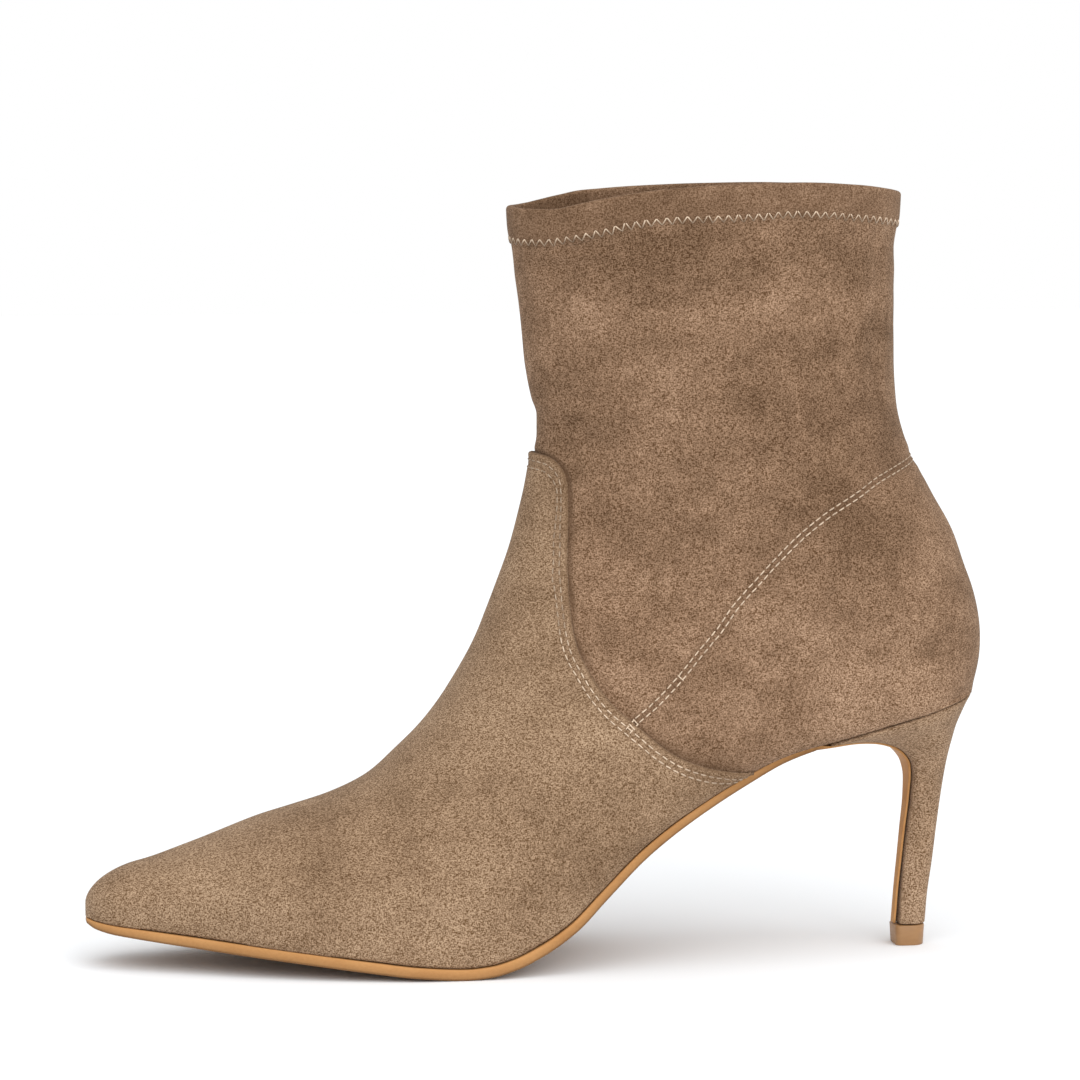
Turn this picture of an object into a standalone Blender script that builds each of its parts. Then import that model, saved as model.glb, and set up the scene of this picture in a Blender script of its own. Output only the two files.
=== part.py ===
"""A stiletto ankle bootie, the left one of a pair, standing empty on its sole.

Sizes are in metres. +X runs to the toe, +Y to the outer side of the foot and +Z up. The
origin is on the floor, under the middle of the boot's length and width.

The upper is one hollow wall. Its outside is a loft of sections that fan from the toe, over
the instep and round the heel, to the collar. Each section spans from a point on the under
line (the sole's edge, then the back of the leg) to a point on the over line (the vamp's
ridge, then the front of the leg).
"""

import math
from collections import namedtuple

import bmesh
import bpy
import numpy as np

MM = 0.001

# Driving sizes of the boot
SHOE_LENGTH = 255.5 * MM  # toe to the back of the counter, level
BALL_WIDTH = 72.6 * MM  # across the sole's edge at the ball
HEEL_HEIGHT = 73.4 * MM  # floor to the back of the seat
BOOT_HEIGHT = 218.2 * MM  # floor to the highest point of the collar
TOE_SPRING = 11.4 * MM  # rise of the sole's edge at the toe
TOE_WIDTH = 17.0 * MM  # across the toe's end, before its corners are rounded
TOE_RADIUS = 9.0 * MM  # length of the rounded end, seen from above
TOE_DEPTH = 12.5 * MM  # depth of the toe's end, before its crown is rounded
CROWN_RADIUS = 7.5 * MM  # length of the rounded crown, seen from the side
TOE_NOSE = 2.6 * MM  # height of the foremost point over the sole's edge
SEAT_RADIUS = 24.0 * MM  # length of the seat's rounded back, seen from above
COLLAR_DIP = 7.2 * MM  # drop of the collar from its highest point to the front
COLLAR_SLANT = 0.025  # the collar falls this much to the outer side

# Walls, layers and the gap between glued pieces
WALL = 1.6 * MM
VAMP_STEP = 0.9 * MM  # the vamp lies this far proud of the shaft
VAMP_LIFT = 0.15 * MM  # the vamp's lower edge over the wall's
HEM_STEP = 0.4 * MM
HEM_DEPTH = 9.6 * MM
LASTING_THICKNESS = 1.4 * MM  # the upper turned in under the insole
LASTING_MARGIN = 11.0 * MM
INSOLE_THICKNESS = 2.2 * MM
SOLE_THICKNESS = 3.1 * MM
FLAP_THICKNESS = 1.1 * MM  # the outsole where it runs down the breast
SOLE_EDGE = 0.7 * MM  # the outsole stands this far beyond the upper
SOLE_BEVEL = 0.8 * MM
FLAP_MARGIN = 0.7 * MM  # the heel's cover shows this much beside the flap
GAP = 0.3 * MM
INSOLE_GAP = 1.1 * MM  # round the insole's edge

# The heel and its tip
SEAT_WIDTH = 47.4 * MM
SEAT_LENGTH = 44.8 * MM
TIP_LENGTH = 9.2 * MM
TIP_WIDTH = 9.8 * MM
TIP_HEIGHT = 5.8 * MM
TIP_TAPER = 0.3 * MM
TIP_CORNER = 1.6 * MM
TIP_ROUND = 0.35 * MM
TIP_OVERHANG = 0.3 * MM  # the tip stands this far beyond the heel's back
TIP_LEDGE = 1.9 * MM  # and this far ahead of its breast
HEEL_TIP_AT = 0.9207  # the tip's middle, as a share of the shoe's length

# Lengths beyond the boot for the shapes that cut it
BEYOND = 60.0 * MM
SKIRT = 4.0 * MM
SPARE = 1.0 * MM
RAND = 0.3 * MM  # straight side of the upper over the sole's edge

TREAD = SOLE_THICKNESS + GAP
SEAT_RISE = HEEL_HEIGHT - TREAD
LEG_HEIGHT = BOOT_HEIGHT - HEEL_HEIGHT
SEAT_END = 0.989  # the back of the seat, as a share of the shoe's length

# The side view of the sole's edge: along is a share of the shoe's length from the toe,
# spring a share of the toe spring and rise a share of the seat's rise
SoleRow = namedtuple("SoleRow", "along spring rise")
SOLE_LINE = [
    SoleRow(0.000, 1.000, 0.000),
    SoleRow(0.030, 0.880, 0.000),
    SoleRow(0.117, 0.640, 0.000),
    SoleRow(0.222, 0.350, 0.000),
    SoleRow(0.290, 0.130, 0.000),
    SoleRow(0.350, 0.000, 0.000),
    SoleRow(0.425, 0.000, 0.000),
    SoleRow(0.450, 0.000, 0.021),
    SoleRow(0.482, 0.000, 0.066),
    SoleRow(0.516, 0.000, 0.148),
    SoleRow(0.550, 0.000, 0.264),
    SoleRow(0.596, 0.000, 0.424),
    SoleRow(0.643, 0.000, 0.549),
    SoleRow(0.700, 0.000, 0.672),
    SoleRow(0.760, 0.000, 0.777),
    SoleRow(0.827, 0.000, 0.849),
    SoleRow(0.903, 0.000, 0.923),
    SoleRow(0.957, 0.000, 0.972),
    SoleRow(0.989, 0.000, 1.000),
]

# The plan of the sole's edge, as shares of the ball width, before toe and seat are rounded
PlanRow = namedtuple("PlanRow", "along outer inner")
SOLE_PLAN = [
    PlanRow(0.035, 0.108, 0.222),
    PlanRow(0.075, 0.170, 0.272),
    PlanRow(0.120, 0.243, 0.335),
    PlanRow(0.180, 0.341, 0.402),
    PlanRow(0.240, 0.417, 0.452),
    PlanRow(0.300, 0.472, 0.488),
    PlanRow(0.360, 0.503, 0.497),
    PlanRow(0.420, 0.503, 0.480),
    PlanRow(0.480, 0.478, 0.430),
    PlanRow(0.540, 0.433, 0.367),
    PlanRow(0.600, 0.388, 0.316),
    PlanRow(0.660, 0.353, 0.288),
    PlanRow(0.720, 0.332, 0.282),
    PlanRow(0.800, 0.325, 0.304),
    PlanRow(0.880, 0.326, 0.326),
    PlanRow(0.989, 0.326, 0.326),
]

# The under line: the sole's edge while lift is 0, then the back of the leg. Way runs from
# the toe to the collar, lift is a share of the leg's height over the seat, and sunk is how
# much of the vamp's step the wall lies below the finished outside, to let the vamp in.
UnderRow = namedtuple("UnderRow", "way along lift sunk")
UNDER_LINE = [
    UnderRow(0.00, 0.0000, 0.000, 1.0),
    UnderRow(0.10, 0.1250, 0.000, 1.0),
    UnderRow(0.20, 0.2750, 0.000, 1.0),
    UnderRow(0.28, 0.4000, 0.000, 1.0),
    UnderRow(0.36, 0.5350, 0.000, 1.0),
    UnderRow(0.42, 0.6700, 0.000, 1.0),
    UnderRow(0.46, 0.7750, 0.000, 0.0),
    UnderRow(0.50, 0.9000, 0.000, 0.0),
    UnderRow(0.53, 0.9650, 0.000, 0.0),
    UnderRow(0.55, 0.9890, 0.000, 0.0),
    UnderRow(0.57, 0.9985, 0.045, 0.0),
    UnderRow(0.60, 1.0000, 0.105, 0.0),
    UnderRow(0.63, 0.9970, 0.170, 0.0),
    UnderRow(0.66, 0.9880, 0.240, 0.0),
    UnderRow(0.70, 0.9665, 0.330, 0.0),
    UnderRow(0.75, 0.9390, 0.422, 0.0),
    UnderRow(0.80, 0.9165, 0.505, 0.0),
    UnderRow(0.85, 0.9015, 0.605, 0.0),
    UnderRow(0.90, 0.8978, 0.725, 0.0),
    UnderRow(0.94, 0.8965, 0.825, 0.0),
    UnderRow(0.97, 0.9005, 0.905, 0.0),
    UnderRow(1.00, 0.9040, 1.036, 0.0),
]

# The over line: lift is its height, a share of the whole boot's, and sunk as above
OverRow = namedtuple("OverRow", "way along lift sunk")
OVER_LINE = [
    OverRow(0.00, 0.0000, 0.1190, 1.0),
    OverRow(0.05, 0.0620, 0.1335, 1.0),
    OverRow(0.10, 0.1260, 0.1590, 1.0),
    OverRow(0.15, 0.1980, 0.1890, 1.0),
    OverRow(0.20, 0.2680, 0.2140, 1.0),
    OverRow(0.24, 0.3115, 0.2380, 1.0),
    OverRow(0.28, 0.3460, 0.2770, 1.0),
    OverRow(0.32, 0.3795, 0.3170, 1.0),
    OverRow(0.36, 0.4069, 0.3619, 1.0),
    OverRow(0.40, 0.4310, 0.4140, 1.0),
    OverRow(0.44, 0.4500, 0.4731, 1.0),
    OverRow(0.48, 0.4674, 0.5327, 1.0),
    OverRow(0.52, 0.4826, 0.6013, 1.0),
    OverRow(0.55, 0.4924, 0.6486, 0.5),
    OverRow(0.58, 0.4979, 0.6750, 0.0),
    OverRow(0.62, 0.4977, 0.7025, 0.0),
    OverRow(0.66, 0.4925, 0.7237, 0.0),
    OverRow(0.74, 0.4856, 0.7656, 0.0),
    OverRow(0.82, 0.4791, 0.8417, 0.0),
    OverRow(0.90, 0.4716, 0.9099, 0.0),
    OverRow(0.95, 0.4669, 0.9518, 0.0),
    OverRow(1.00, 0.4642, 1.0520, 0.0),
]

# The girth of each section: width is half the widest breadth and ridge the sideways place
# of the over line, both as shares of the ball width, and swell is where the widest place
# lies between the under and the over line
GirthRow = namedtuple("GirthRow", "way width swell ridge")
GIRTHS = [
    GirthRow(0.000, 0.120, 0.36, -0.068),
    GirthRow(0.028, 0.174, 0.35, -0.066),
    GirthRow(0.060, 0.238, 0.34, -0.063),
    GirthRow(0.100, 0.312, 0.32, -0.058),
    GirthRow(0.150, 0.415, 0.29, -0.052),
    GirthRow(0.200, 0.482, 0.26, -0.048),
    GirthRow(0.240, 0.512, 0.25, -0.045),
    GirthRow(0.280, 0.520, 0.25, -0.041),
    GirthRow(0.320, 0.506, 0.26, -0.036),
    GirthRow(0.360, 0.478, 0.28, -0.030),
    GirthRow(0.400, 0.450, 0.31, -0.023),
    GirthRow(0.440, 0.428, 0.34, -0.016),
    GirthRow(0.500, 0.410, 0.36, -0.006),
    GirthRow(0.550, 0.402, 0.37, -0.001),
    GirthRow(0.600, 0.396, 0.38, 0.000),
    GirthRow(0.700, 0.378, 0.43, 0.000),
    GirthRow(0.800, 0.366, 0.48, 0.000),
    GirthRow(0.900, 0.372, 0.50, 0.000),
    GirthRow(1.000, 0.385, 0.50, 0.000),
]

# The collar's edge from the side: dip is a share of the collar's dip
CollarRow = namedtuple("CollarRow", "along dip")
COLLAR_LINE = [
    CollarRow(0.400, 1.10),
    CollarRow(0.465, 0.98),
    CollarRow(0.490, 0.90),
    CollarRow(0.526, 0.68),
    CollarRow(0.557, 0.48),
    CollarRow(0.598, 0.28),
    CollarRow(0.680, 0.14),
    CollarRow(0.785, 0.05),
    CollarRow(0.835, 0.06),
    CollarRow(0.905, 0.40),
    CollarRow(0.960, 0.75),
]

# The vamp's back edge, down from the front of the ankle to the sole: height is a share of
# the leg's height over the seat, and negative below the seat
SeamRow = namedtuple("SeamRow", "along height")
VAMP_SEAM = [
    SeamRow(0.470, 0.500),
    SeamRow(0.500, 0.487),
    SeamRow(0.512, 0.462),
    SeamRow(0.518, 0.400),
    SeamRow(0.517, 0.300),
    SeamRow(0.527, 0.180),
    SeamRow(0.552, 0.060),
    SeamRow(0.590, -0.020),
    SeamRow(0.650, -0.090),
    SeamRow(0.705, -0.125),
    SeamRow(0.760, -0.140),
]

# The heel, from its tip to its seat. A section runs from the breast to the back: breast
# and back are shares of the way from the tip's end to the seat's, their heights are shares
# of the seat's height over them, and width and face (the flat of the breast) shares of the
# seat's width.
HeelRow = namedtuple("HeelRow", "breast breast_height back back_height width face")
HEEL_SECTIONS = [
    HeelRow(0.000, 0.0890, 0.000, 0.0860, 0.188, 0.140),
    HeelRow(-0.025, 0.235, 0.055, 0.207, 0.190, 0.142),
    HeelRow(-0.055, 0.360, 0.150, 0.330, 0.198, 0.150),
    HeelRow(-0.087, 0.490, 0.240, 0.465, 0.216, 0.162),
    HeelRow(-0.120, 0.610, 0.330, 0.590, 0.250, 0.184),
    HeelRow(-0.130, 0.700, 0.415, 0.695, 0.306, 0.220),
    HeelRow(-0.105, 0.765, 0.480, 0.765, 0.390, 0.290),
    HeelRow(-0.005, 0.828, 0.565, 0.830, 0.520, 0.380),
    HeelRow(0.180, 0.886, 0.665, 0.890, 0.655, 0.470),
    HeelRow(0.430, 0.932, 0.780, 0.936, 0.805, 0.580),
    HeelRow(0.690, 0.964, 0.885, 0.972, 0.925, 0.720),
    HeelRow(1.000, 0.990, 1.000, 1.000, 1.000, 0.880),
]
SEAT_SWELL = 0.40  # where the seat is widest, from its front

# How much of the outsole's width is left along the waist
NarrowRow = namedtuple("NarrowRow", "along width gauge")
SOLE_WAIST = [
    NarrowRow(0.000, 1.00, 1.00),
    NarrowRow(0.450, 1.00, 1.00),
    NarrowRow(0.540, 1.00, 0.90),
    NarrowRow(0.660, 0.98, 0.82),
    NarrowRow(0.720, 0.92, 0.74),
    NarrowRow(0.760, 0.85, 0.60),
    NarrowRow(0.800, 0.80, 0.45),
]

# Steps of the lofts
TOE_STEPS = 5
FOOT_STEPS = 34
CREST_STEPS = 9
SIDE_STEPS = 5
LINE_STEPS = 44
BACK_STEPS = 4

Finish = namedtuple("Finish", "color roughness")
SUEDE = Finish((0.26, 0.175, 0.115), 0.95)
SOLE_LEATHER = Finish((0.50, 0.28, 0.13), 0.50)
SOCK_LEATHER = Finish((0.55, 0.42, 0.30), 0.65)
TIP_RUBBER = Finish((0.42, 0.25, 0.14), 0.55)


def smooth_column(rows, key, name):
    """A column of a table as a smooth curve over another column, with no overshoot."""
    x = np.array([getattr(row, key) for row in rows])
    y = np.array([getattr(row, name) for row in rows])
    step, rise = np.diff(x), np.diff(y)
    chord = rise / step
    slope = np.concatenate([chord[:1], np.zeros(len(x) - 2), chord[-1:]])
    for i in range(1, len(x) - 1):
        if chord[i - 1] * chord[i] > 0:
            before, after = 2 * step[i] + step[i - 1], step[i] + 2 * step[i - 1]
            slope[i] = (before + after) / (before / chord[i - 1] + after / chord[i])

    def value(at):
        at = min(max(at, x[0]), x[-1])
        i = min(int(np.searchsorted(x, at, side="right")) - 1, len(step) - 1)
        t = (at - x[i]) / step[i]
        bend = (slope[i] + slope[i + 1]) * step[i] - 2 * rise[i]
        lean = 3 * rise[i] - (2 * slope[i] + slope[i + 1]) * step[i]
        return float(y[i] + t * (slope[i] * step[i] + t * (lean + t * bend)))

    return value


def columns(rows, key):
    """Every other column of a table as a smooth curve over the key column."""
    return {name: smooth_column(rows, key, name) for name in rows[0]._fields if name != key}


SOLE = columns(SOLE_LINE, "along")
PLAN = columns(SOLE_PLAN, "along")
UNDER = columns(UNDER_LINE, "way")
OVER = columns(OVER_LINE, "way")
GIRTH = columns(GIRTHS, "way")
COLLAR = columns(COLLAR_LINE, "along")
WAIST = columns(SOLE_WAIST, "along")


def x_at(along):
    return (0.5 - along) * SHOE_LENGTH


def along_at(x):
    return 0.5 - x / SHOE_LENGTH


def sole_height(along):
    """Height of the sole's edge, where the upper meets the outsole."""
    return TREAD + TOE_SPRING * SOLE["spring"](along) + SEAT_RISE * SOLE["rise"](along)


def collar_height(along):
    return BOOT_HEIGHT - COLLAR_DIP * COLLAR["dip"](along)


def rounded_end(distance, radius):
    """Share of the full breadth at a distance from a rounded end."""
    left = 1 - min(max(distance / radius, 0.0), 1.0)
    return math.sqrt(1 - left * left)


def sole_sides(along):
    """Middle and half width of the sole's edge in plan."""
    outer = PLAN["outer"](along) * BALL_WIDTH
    inner = PLAN["inner"](along) * BALL_WIDTH
    half = (outer + inner) / 2
    from_toe = along * SHOE_LENGTH
    if from_toe < TOE_RADIUS:
        half += (TOE_WIDTH / 2 - half) * (1 - from_toe / TOE_RADIUS)
    ends = rounded_end(from_toe, TOE_RADIUS)
    ends *= rounded_end((SEAT_END - along) * SHOE_LENGTH, SEAT_RADIUS)
    return (outer - inner) / 2, half * ends


def outward(points):
    """Unit normals of a line in the side view, to the left of its run."""
    run = np.gradient(np.array(points), axis=0)
    run /= np.linalg.norm(run, axis=1)[:, None]
    return np.stack([-run[:, 1], run[:, 0]], axis=1)


def upper_ways():
    """Places of the sections from the toe to above the collar."""
    toe_end = TOE_RADIUS / SHOE_LENGTH * 0.8
    round_toe = [toe_end * (1 - math.cos(i * math.pi / 2 / TOE_STEPS)) for i in range(TOE_STEPS)]
    return round_toe + list(np.linspace(toe_end, 1.0, FOOT_STEPS))


def under_and_over(grow):
    """The two side-view lines of the upper, moved outwards by grow."""
    ways = upper_ways()
    under, over = [], []
    for way in ways:
        along = UNDER["along"](way)
        height = sole_height(along) + RAND + LEG_HEIGHT * UNDER["lift"](way)
        under.append((x_at(along), height))
        along = OVER["along"](way)
        nose = sole_height(along) + TOE_NOSE
        crown = rounded_end(along * SHOE_LENGTH, CROWN_RADIUS)
        over.append((x_at(along), nose + (BOOT_HEIGHT * OVER["lift"](way) - nose) * crown))
    low = np.array([[grow - VAMP_STEP * UNDER["sunk"](way)] for way in ways])
    high = np.array([[grow - VAMP_STEP * OVER["sunk"](way)] for way in ways])
    down, up = outward(under), -outward(over)
    ahead = np.array([max(0.0, 1 - (x_at(0) - x) / TOE_RADIUS) for x, _ in under])
    for away in (down, up):
        away[:, 0] = np.where(ahead > 0, ahead, away[:, 0])
    down[:, 1] = np.where(ahead > 0, 0.0, down[:, 1])
    return np.array(under) + down * low, np.array(over) + up * high


def upper_section(way, under, over, grow):
    """One closed section of the upper, from its ridge down the outer side and back up."""
    along = UNDER["along"](way)
    on_sole = UNDER["lift"](way) == 0
    middle, flat = sole_sides(along)
    end = rounded_end(along * SHOE_LENGTH, TOE_RADIUS)
    low = grow - VAMP_STEP * UNDER["sunk"](way)
    high = grow - VAMP_STEP * OVER["sunk"](way)
    flat = flat + low * end if on_sole and flat > 0 else 0.0
    half = (GIRTH["width"](way) * BALL_WIDTH + (low + high) / 2) * end
    half = max(half, flat)
    ridge = GIRTH["ridge"](way) * BALL_WIDTH
    middle = middle if on_sole else ridge
    swell = GIRTH["swell"](way)
    side = []
    for i in range(CREST_STEPS):
        turn = math.pi / 2 * (1 - i / CREST_STEPS)
        side.append((swell + (1 - swell) * math.sin(turn), half * math.cos(turn), 0.0))
    for i in range(SIDE_STEPS + 1):
        turn = math.pi / 2 * i / SIDE_STEPS
        side.append((swell * (1 - math.sin(turn)), flat + (half - flat) * math.cos(turn), 0.0))
    skirt = SKIRT + 2 * abs(grow) if on_sole else 0.0
    side.append((0.0, flat, skirt))
    ring = side + [(0.0, 0.0, skirt)] + [(u, -v, drop) for u, v, drop in reversed(side[1:])]
    points = []
    for u, v, drop in ring:
        x, z = under + (over - under) * u
        points.append((x, middle + (ridge - middle) * u + v, z - drop))
    return points


def loft(name, rings):
    """A closed solid through rings of points, capped at both ends."""
    mesh = bmesh.new()
    layers = [[mesh.verts.new(point) for point in ring] for ring in rings]
    for first, second in zip(layers, layers[1:]):
        for i in range(len(first)):
            j = (i + 1) % len(first)
            mesh.faces.new((first[i], first[j], second[j], second[i]))
    mesh.faces.new(layers[0])
    mesh.faces.new(layers[-1])
    bmesh.ops.remove_doubles(mesh, verts=mesh.verts, dist=0.002 * MM)
    bmesh.ops.dissolve_degenerate(mesh, edges=mesh.edges, dist=0.001 * MM)
    bmesh.ops.recalc_face_normals(mesh, faces=mesh.faces)
    return mesh_object(name, mesh)


def mesh_object(name, mesh):
    data = bpy.data.meshes.new(name)
    mesh.to_mesh(data)
    mesh.free()
    data.shade_smooth()
    return bpy.data.objects.new(name, data)


def prism(name, outline, half_width, slant=0.0):
    """A block whose side view is the outline, across the whole width."""
    mesh = bmesh.new()
    fall = slant * half_width
    face = mesh.faces.new([mesh.verts.new((x, -half_width, z + fall)) for x, z in outline])
    grown = bmesh.ops.extrude_face_region(mesh, geom=[face])
    moved = [part for part in grown["geom"] if isinstance(part, bmesh.types.BMVert)]
    bmesh.ops.translate(mesh, verts=moved, vec=(0, 2 * half_width, -2 * fall))
    bmesh.ops.recalc_face_normals(mesh, faces=mesh.faces)
    return as_cutter(mesh_object(name, mesh))


def as_cutter(cutter):
    cutter.hide_render = True
    cutter.display_type = "WIRE"
    bpy.data.collections["cutters"].objects.link(cutter)
    return cutter


def combine(target, other, operation):
    step = target.modifiers.new(operation.lower() + " " + other.name, "BOOLEAN")
    step.operation = operation
    step.object = other


def upper_form(name, grow):
    """The upper's outside, moved outwards by grow, as a filled form."""
    under, over = under_and_over(grow)
    ways = upper_ways()
    return loft(name, [upper_section(w, u, o, grow) for w, u, o in zip(ways, under, over)])


def sole_outline(offset, close_at, steps=LINE_STEPS):
    """The side view between the sole's edge, moved up by offset, and a far level."""
    alongs = np.linspace(0, SEAT_END, steps)
    line = [(x_at(a), sole_height(a) + offset) for a in alongs]
    ends = [(line[0][0] + BEYOND, line[0][1]), (line[-1][0] - BEYOND, line[-1][1])]
    far = [(ends[1][0], close_at), (ends[0][0], close_at)]
    return [ends[0], *line, ends[1], *far]


def collar_outline(drop, above):
    """The side view from a line drop below the collar's edge up to above its highest point."""
    alongs = np.linspace(COLLAR_LINE[0].along, COLLAR_LINE[-1].along, LINE_STEPS // 2)
    line = [(x_at(a), collar_height(a) - drop) for a in alongs]
    top = BOOT_HEIGHT + above
    return [*line, (line[-1][0], top), (line[0][0], top)]


def vamp_outline():
    """The side view of the vamp: all that lies ahead of its back edge."""
    last = len(VAMP_SEAM) - 1
    rows = [row._replace(along=i / last) for i, row in enumerate(VAMP_SEAM)]
    height = smooth_column(rows, "along", "height")
    rows = [SeamRow(i / last, row.along) for i, row in enumerate(VAMP_SEAM)]
    along = smooth_column(rows, "along", "height")
    line = []
    for way in np.linspace(0, 1, LINE_STEPS):
        line.append((x_at(along(way)), HEEL_HEIGHT + LEG_HEIGHT * height(way)))
    front = x_at(0) + BEYOND
    return [*line, (line[-1][0], -BEYOND), (front, -BEYOND), (front, line[0][1])]


def band(name, edge, bottom, top, start, end):
    """A slab that follows the sole's edge in plan and in the side view."""
    rings = []
    round_steps = [1 - math.cos(i * math.pi / 2 / TOE_STEPS) for i in range(1, TOE_STEPS)]
    toe = [start + TOE_RADIUS / SHOE_LENGTH * s for s in round_steps]
    seat = [end - SEAT_RADIUS / SHOE_LENGTH * s for s in reversed(round_steps)]
    middle = list(np.linspace(toe[-1], seat[0], LINE_STEPS))[1:-1]
    for along in toe + middle + seat:
        centre, half = sole_sides(along)
        ends = rounded_end((along - start) * SHOE_LENGTH, TOE_RADIUS / 2)
        half = (half + edge) * ends * rounded_end((end - along) * SHOE_LENGTH, SEAT_RADIUS / 2)
        x, z = x_at(along), sole_height(along)
        rings.append([
            (x, centre + half, z + top), (x, centre - half, z + top),
            (x, centre - half, z + bottom), (x, centre + half, z + bottom),
        ])
    return loft(name, rings)


def make_upper():
    """The hollow upper: vamp and hem are steps in its wall, and it is open below."""
    wide = BALL_WIDTH
    ground = -BEYOND
    below = prism("below_sole", sole_outline(0.0, ground), wide)
    upper = upper_form("upper", 0.0)
    combine(upper, below, "DIFFERENCE")
    vamp = as_cutter(upper_form("vamp_form", VAMP_STEP))
    vamp_floor = prism("vamp_floor", sole_outline(VAMP_LIFT, ground), wide)
    combine(vamp, vamp_floor, "DIFFERENCE")
    combine(vamp, prism("vamp_outline", vamp_outline(), wide), "INTERSECT")
    hem = as_cutter(upper_form("hem_form", HEM_STEP))
    hem_outline = prism("hem_outline", collar_outline(HEM_DEPTH, SPARE), wide, COLLAR_SLANT)
    combine(hem, hem_outline, "INTERSECT")
    inside = as_cutter(upper_form("inside_form", -WALL))
    floor = prism("lasting_floor", sole_outline(LASTING_THICKNESS, ground), wide)
    combine(inside, floor, "DIFFERENCE")
    inset = LASTING_MARGIN / SHOE_LENGTH
    opening = as_cutter(band(
        "lasting_opening", -LASTING_MARGIN, -2 * SKIRT, LASTING_THICKNESS + GAP,
        inset, SEAT_END - inset,
    ))
    combine(upper, vamp, "UNION")
    combine(upper, hem, "UNION")
    above = prism("above_collar", collar_outline(0.0, BEYOND), wide, COLLAR_SLANT)
    combine(upper, above, "DIFFERENCE")
    combine(upper, inside, "DIFFERENCE")
    combine(upper, opening, "DIFFERENCE")
    return upper


def make_insole():
    """The insole with its sock, on the turned-in edge of the upper."""
    bottom = LASTING_THICKNESS + GAP
    end = (WALL + INSOLE_GAP) / SHOE_LENGTH
    return band(
        "insole", -WALL - INSOLE_GAP - VAMP_STEP, bottom, bottom + INSOLE_THICKNESS,
        2 * end, SEAT_END - 2 * end,
    )


def tip_ends():
    """Front and back of the heel just above its tip."""
    middle, half = x_at(HEEL_TIP_AT), TIP_LENGTH / 2
    return middle + half - TIP_LEDGE, middle - half + TIP_OVERHANG


def heel_line(breast):
    """Side-view points of the breast, or of the back, from the tip up to the seat."""
    front, back = tip_ends()
    seat_back = x_at(SEAT_END)
    tip, seat = (front, seat_back + SEAT_LENGTH) if breast else (back, seat_back)
    points = []
    for row in HEEL_SECTIONS:
        share = row.breast if breast else row.back
        height = row.breast_height if breast else row.back_height
        x = tip + (seat - tip) * share
        points.append((x, height * (sole_height(along_at(x)) - GAP)))
    points[0] = (points[0][0], TIP_HEIGHT + GAP)
    return points


def smooth_ring_rows(rows, steps):
    """Rows of numbers with smooth rows between them."""
    table = [namedtuple("Row", [f"c{i}" for i in range(len(rows[0]) + 1)])(k, *row)
             for k, row in enumerate(rows)]
    curves = columns(table, "c0")
    places = np.linspace(0, len(rows) - 1, (len(rows) - 1) * steps + 1)
    return [[curve(place) for curve in curves.values()] for place in places]


def heel_rows():
    """Breast point, back point, half width and half face of each section."""
    rows = []
    for row, front, back in zip(HEEL_SECTIONS, heel_line(True), heel_line(False)):
        rows.append((*front, *back, row.width * SEAT_WIDTH / 2, row.face * SEAT_WIDTH / 2))
    return smooth_ring_rows(rows, 2)


def heel_section(front, back, half, face):
    """A flat breast, sides that swell and a round back."""
    side = [(0.0, face)]
    for i in range(1, BACK_STEPS + 1):
        turn = math.pi / 2 * i / BACK_STEPS
        side.append((SEAT_SWELL * (1 - math.cos(turn)), face + (half - face) * math.sin(turn)))
    for i in range(1, 2 * BACK_STEPS):
        turn = math.pi / 4 * i / BACK_STEPS
        side.append((SEAT_SWELL + (1 - SEAT_SWELL) * math.sin(turn), half * math.cos(turn)))
    ring = side + [(1.0, 0.0)] + [(u, -v) for u, v in reversed(side)]
    return [(*(front + (back - front) * u), v) for u, v in ring]


def make_heel():
    """The covered heel, from above its tip to the seat under the upper."""
    rings = []
    for fx, fz, bx, bz, half, face in heel_rows():
        section = heel_section(np.array((fx, fz)), np.array((bx, bz)), half, face)
        rings.append([(x, v, z) for x, z, v in section])
    above = [(x, y, z + SKIRT) for x, y, z in rings[-1]]
    heel = loft("heel", rings + [above])
    seat = prism("seat_plane", sole_outline(-GAP, BOOT_HEIGHT), BALL_WIDTH)
    combine(heel, seat, "DIFFERENCE")
    return heel


def make_top_lift():
    """The hard tip under the heel, straight in front and round behind."""
    middle, half = x_at(HEEL_TIP_AT), TIP_WIDTH / 2
    front, back = TIP_LENGTH / 2, TIP_LENGTH / 2 - half * 0.8
    outline = [(front, half - TIP_CORNER), (front - TIP_CORNER, half)]
    for i in range(2 * BACK_STEPS + 1):
        turn = math.pi * i / 2 / BACK_STEPS
        outline.append((-back - half * 0.8 * math.sin(turn), half * math.cos(turn)))
    outline += [(front - TIP_CORNER, -half), (front, TIP_CORNER - half)]
    rings = []
    for z, size in ((0.0, 1 - TIP_TAPER / half), (TIP_HEIGHT, 1.0)):
        rings.append([(middle + x * size, y * size, z) for x, y in outline])
    lift = loft("top_lift", rings)
    edge = lift.modifiers.new("soft edge", "BEVEL")
    edge.width = TIP_ROUND
    edge.segments = 1
    edge.limit_method = "ANGLE"
    edge.angle_limit = math.radians(50)
    return lift


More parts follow.
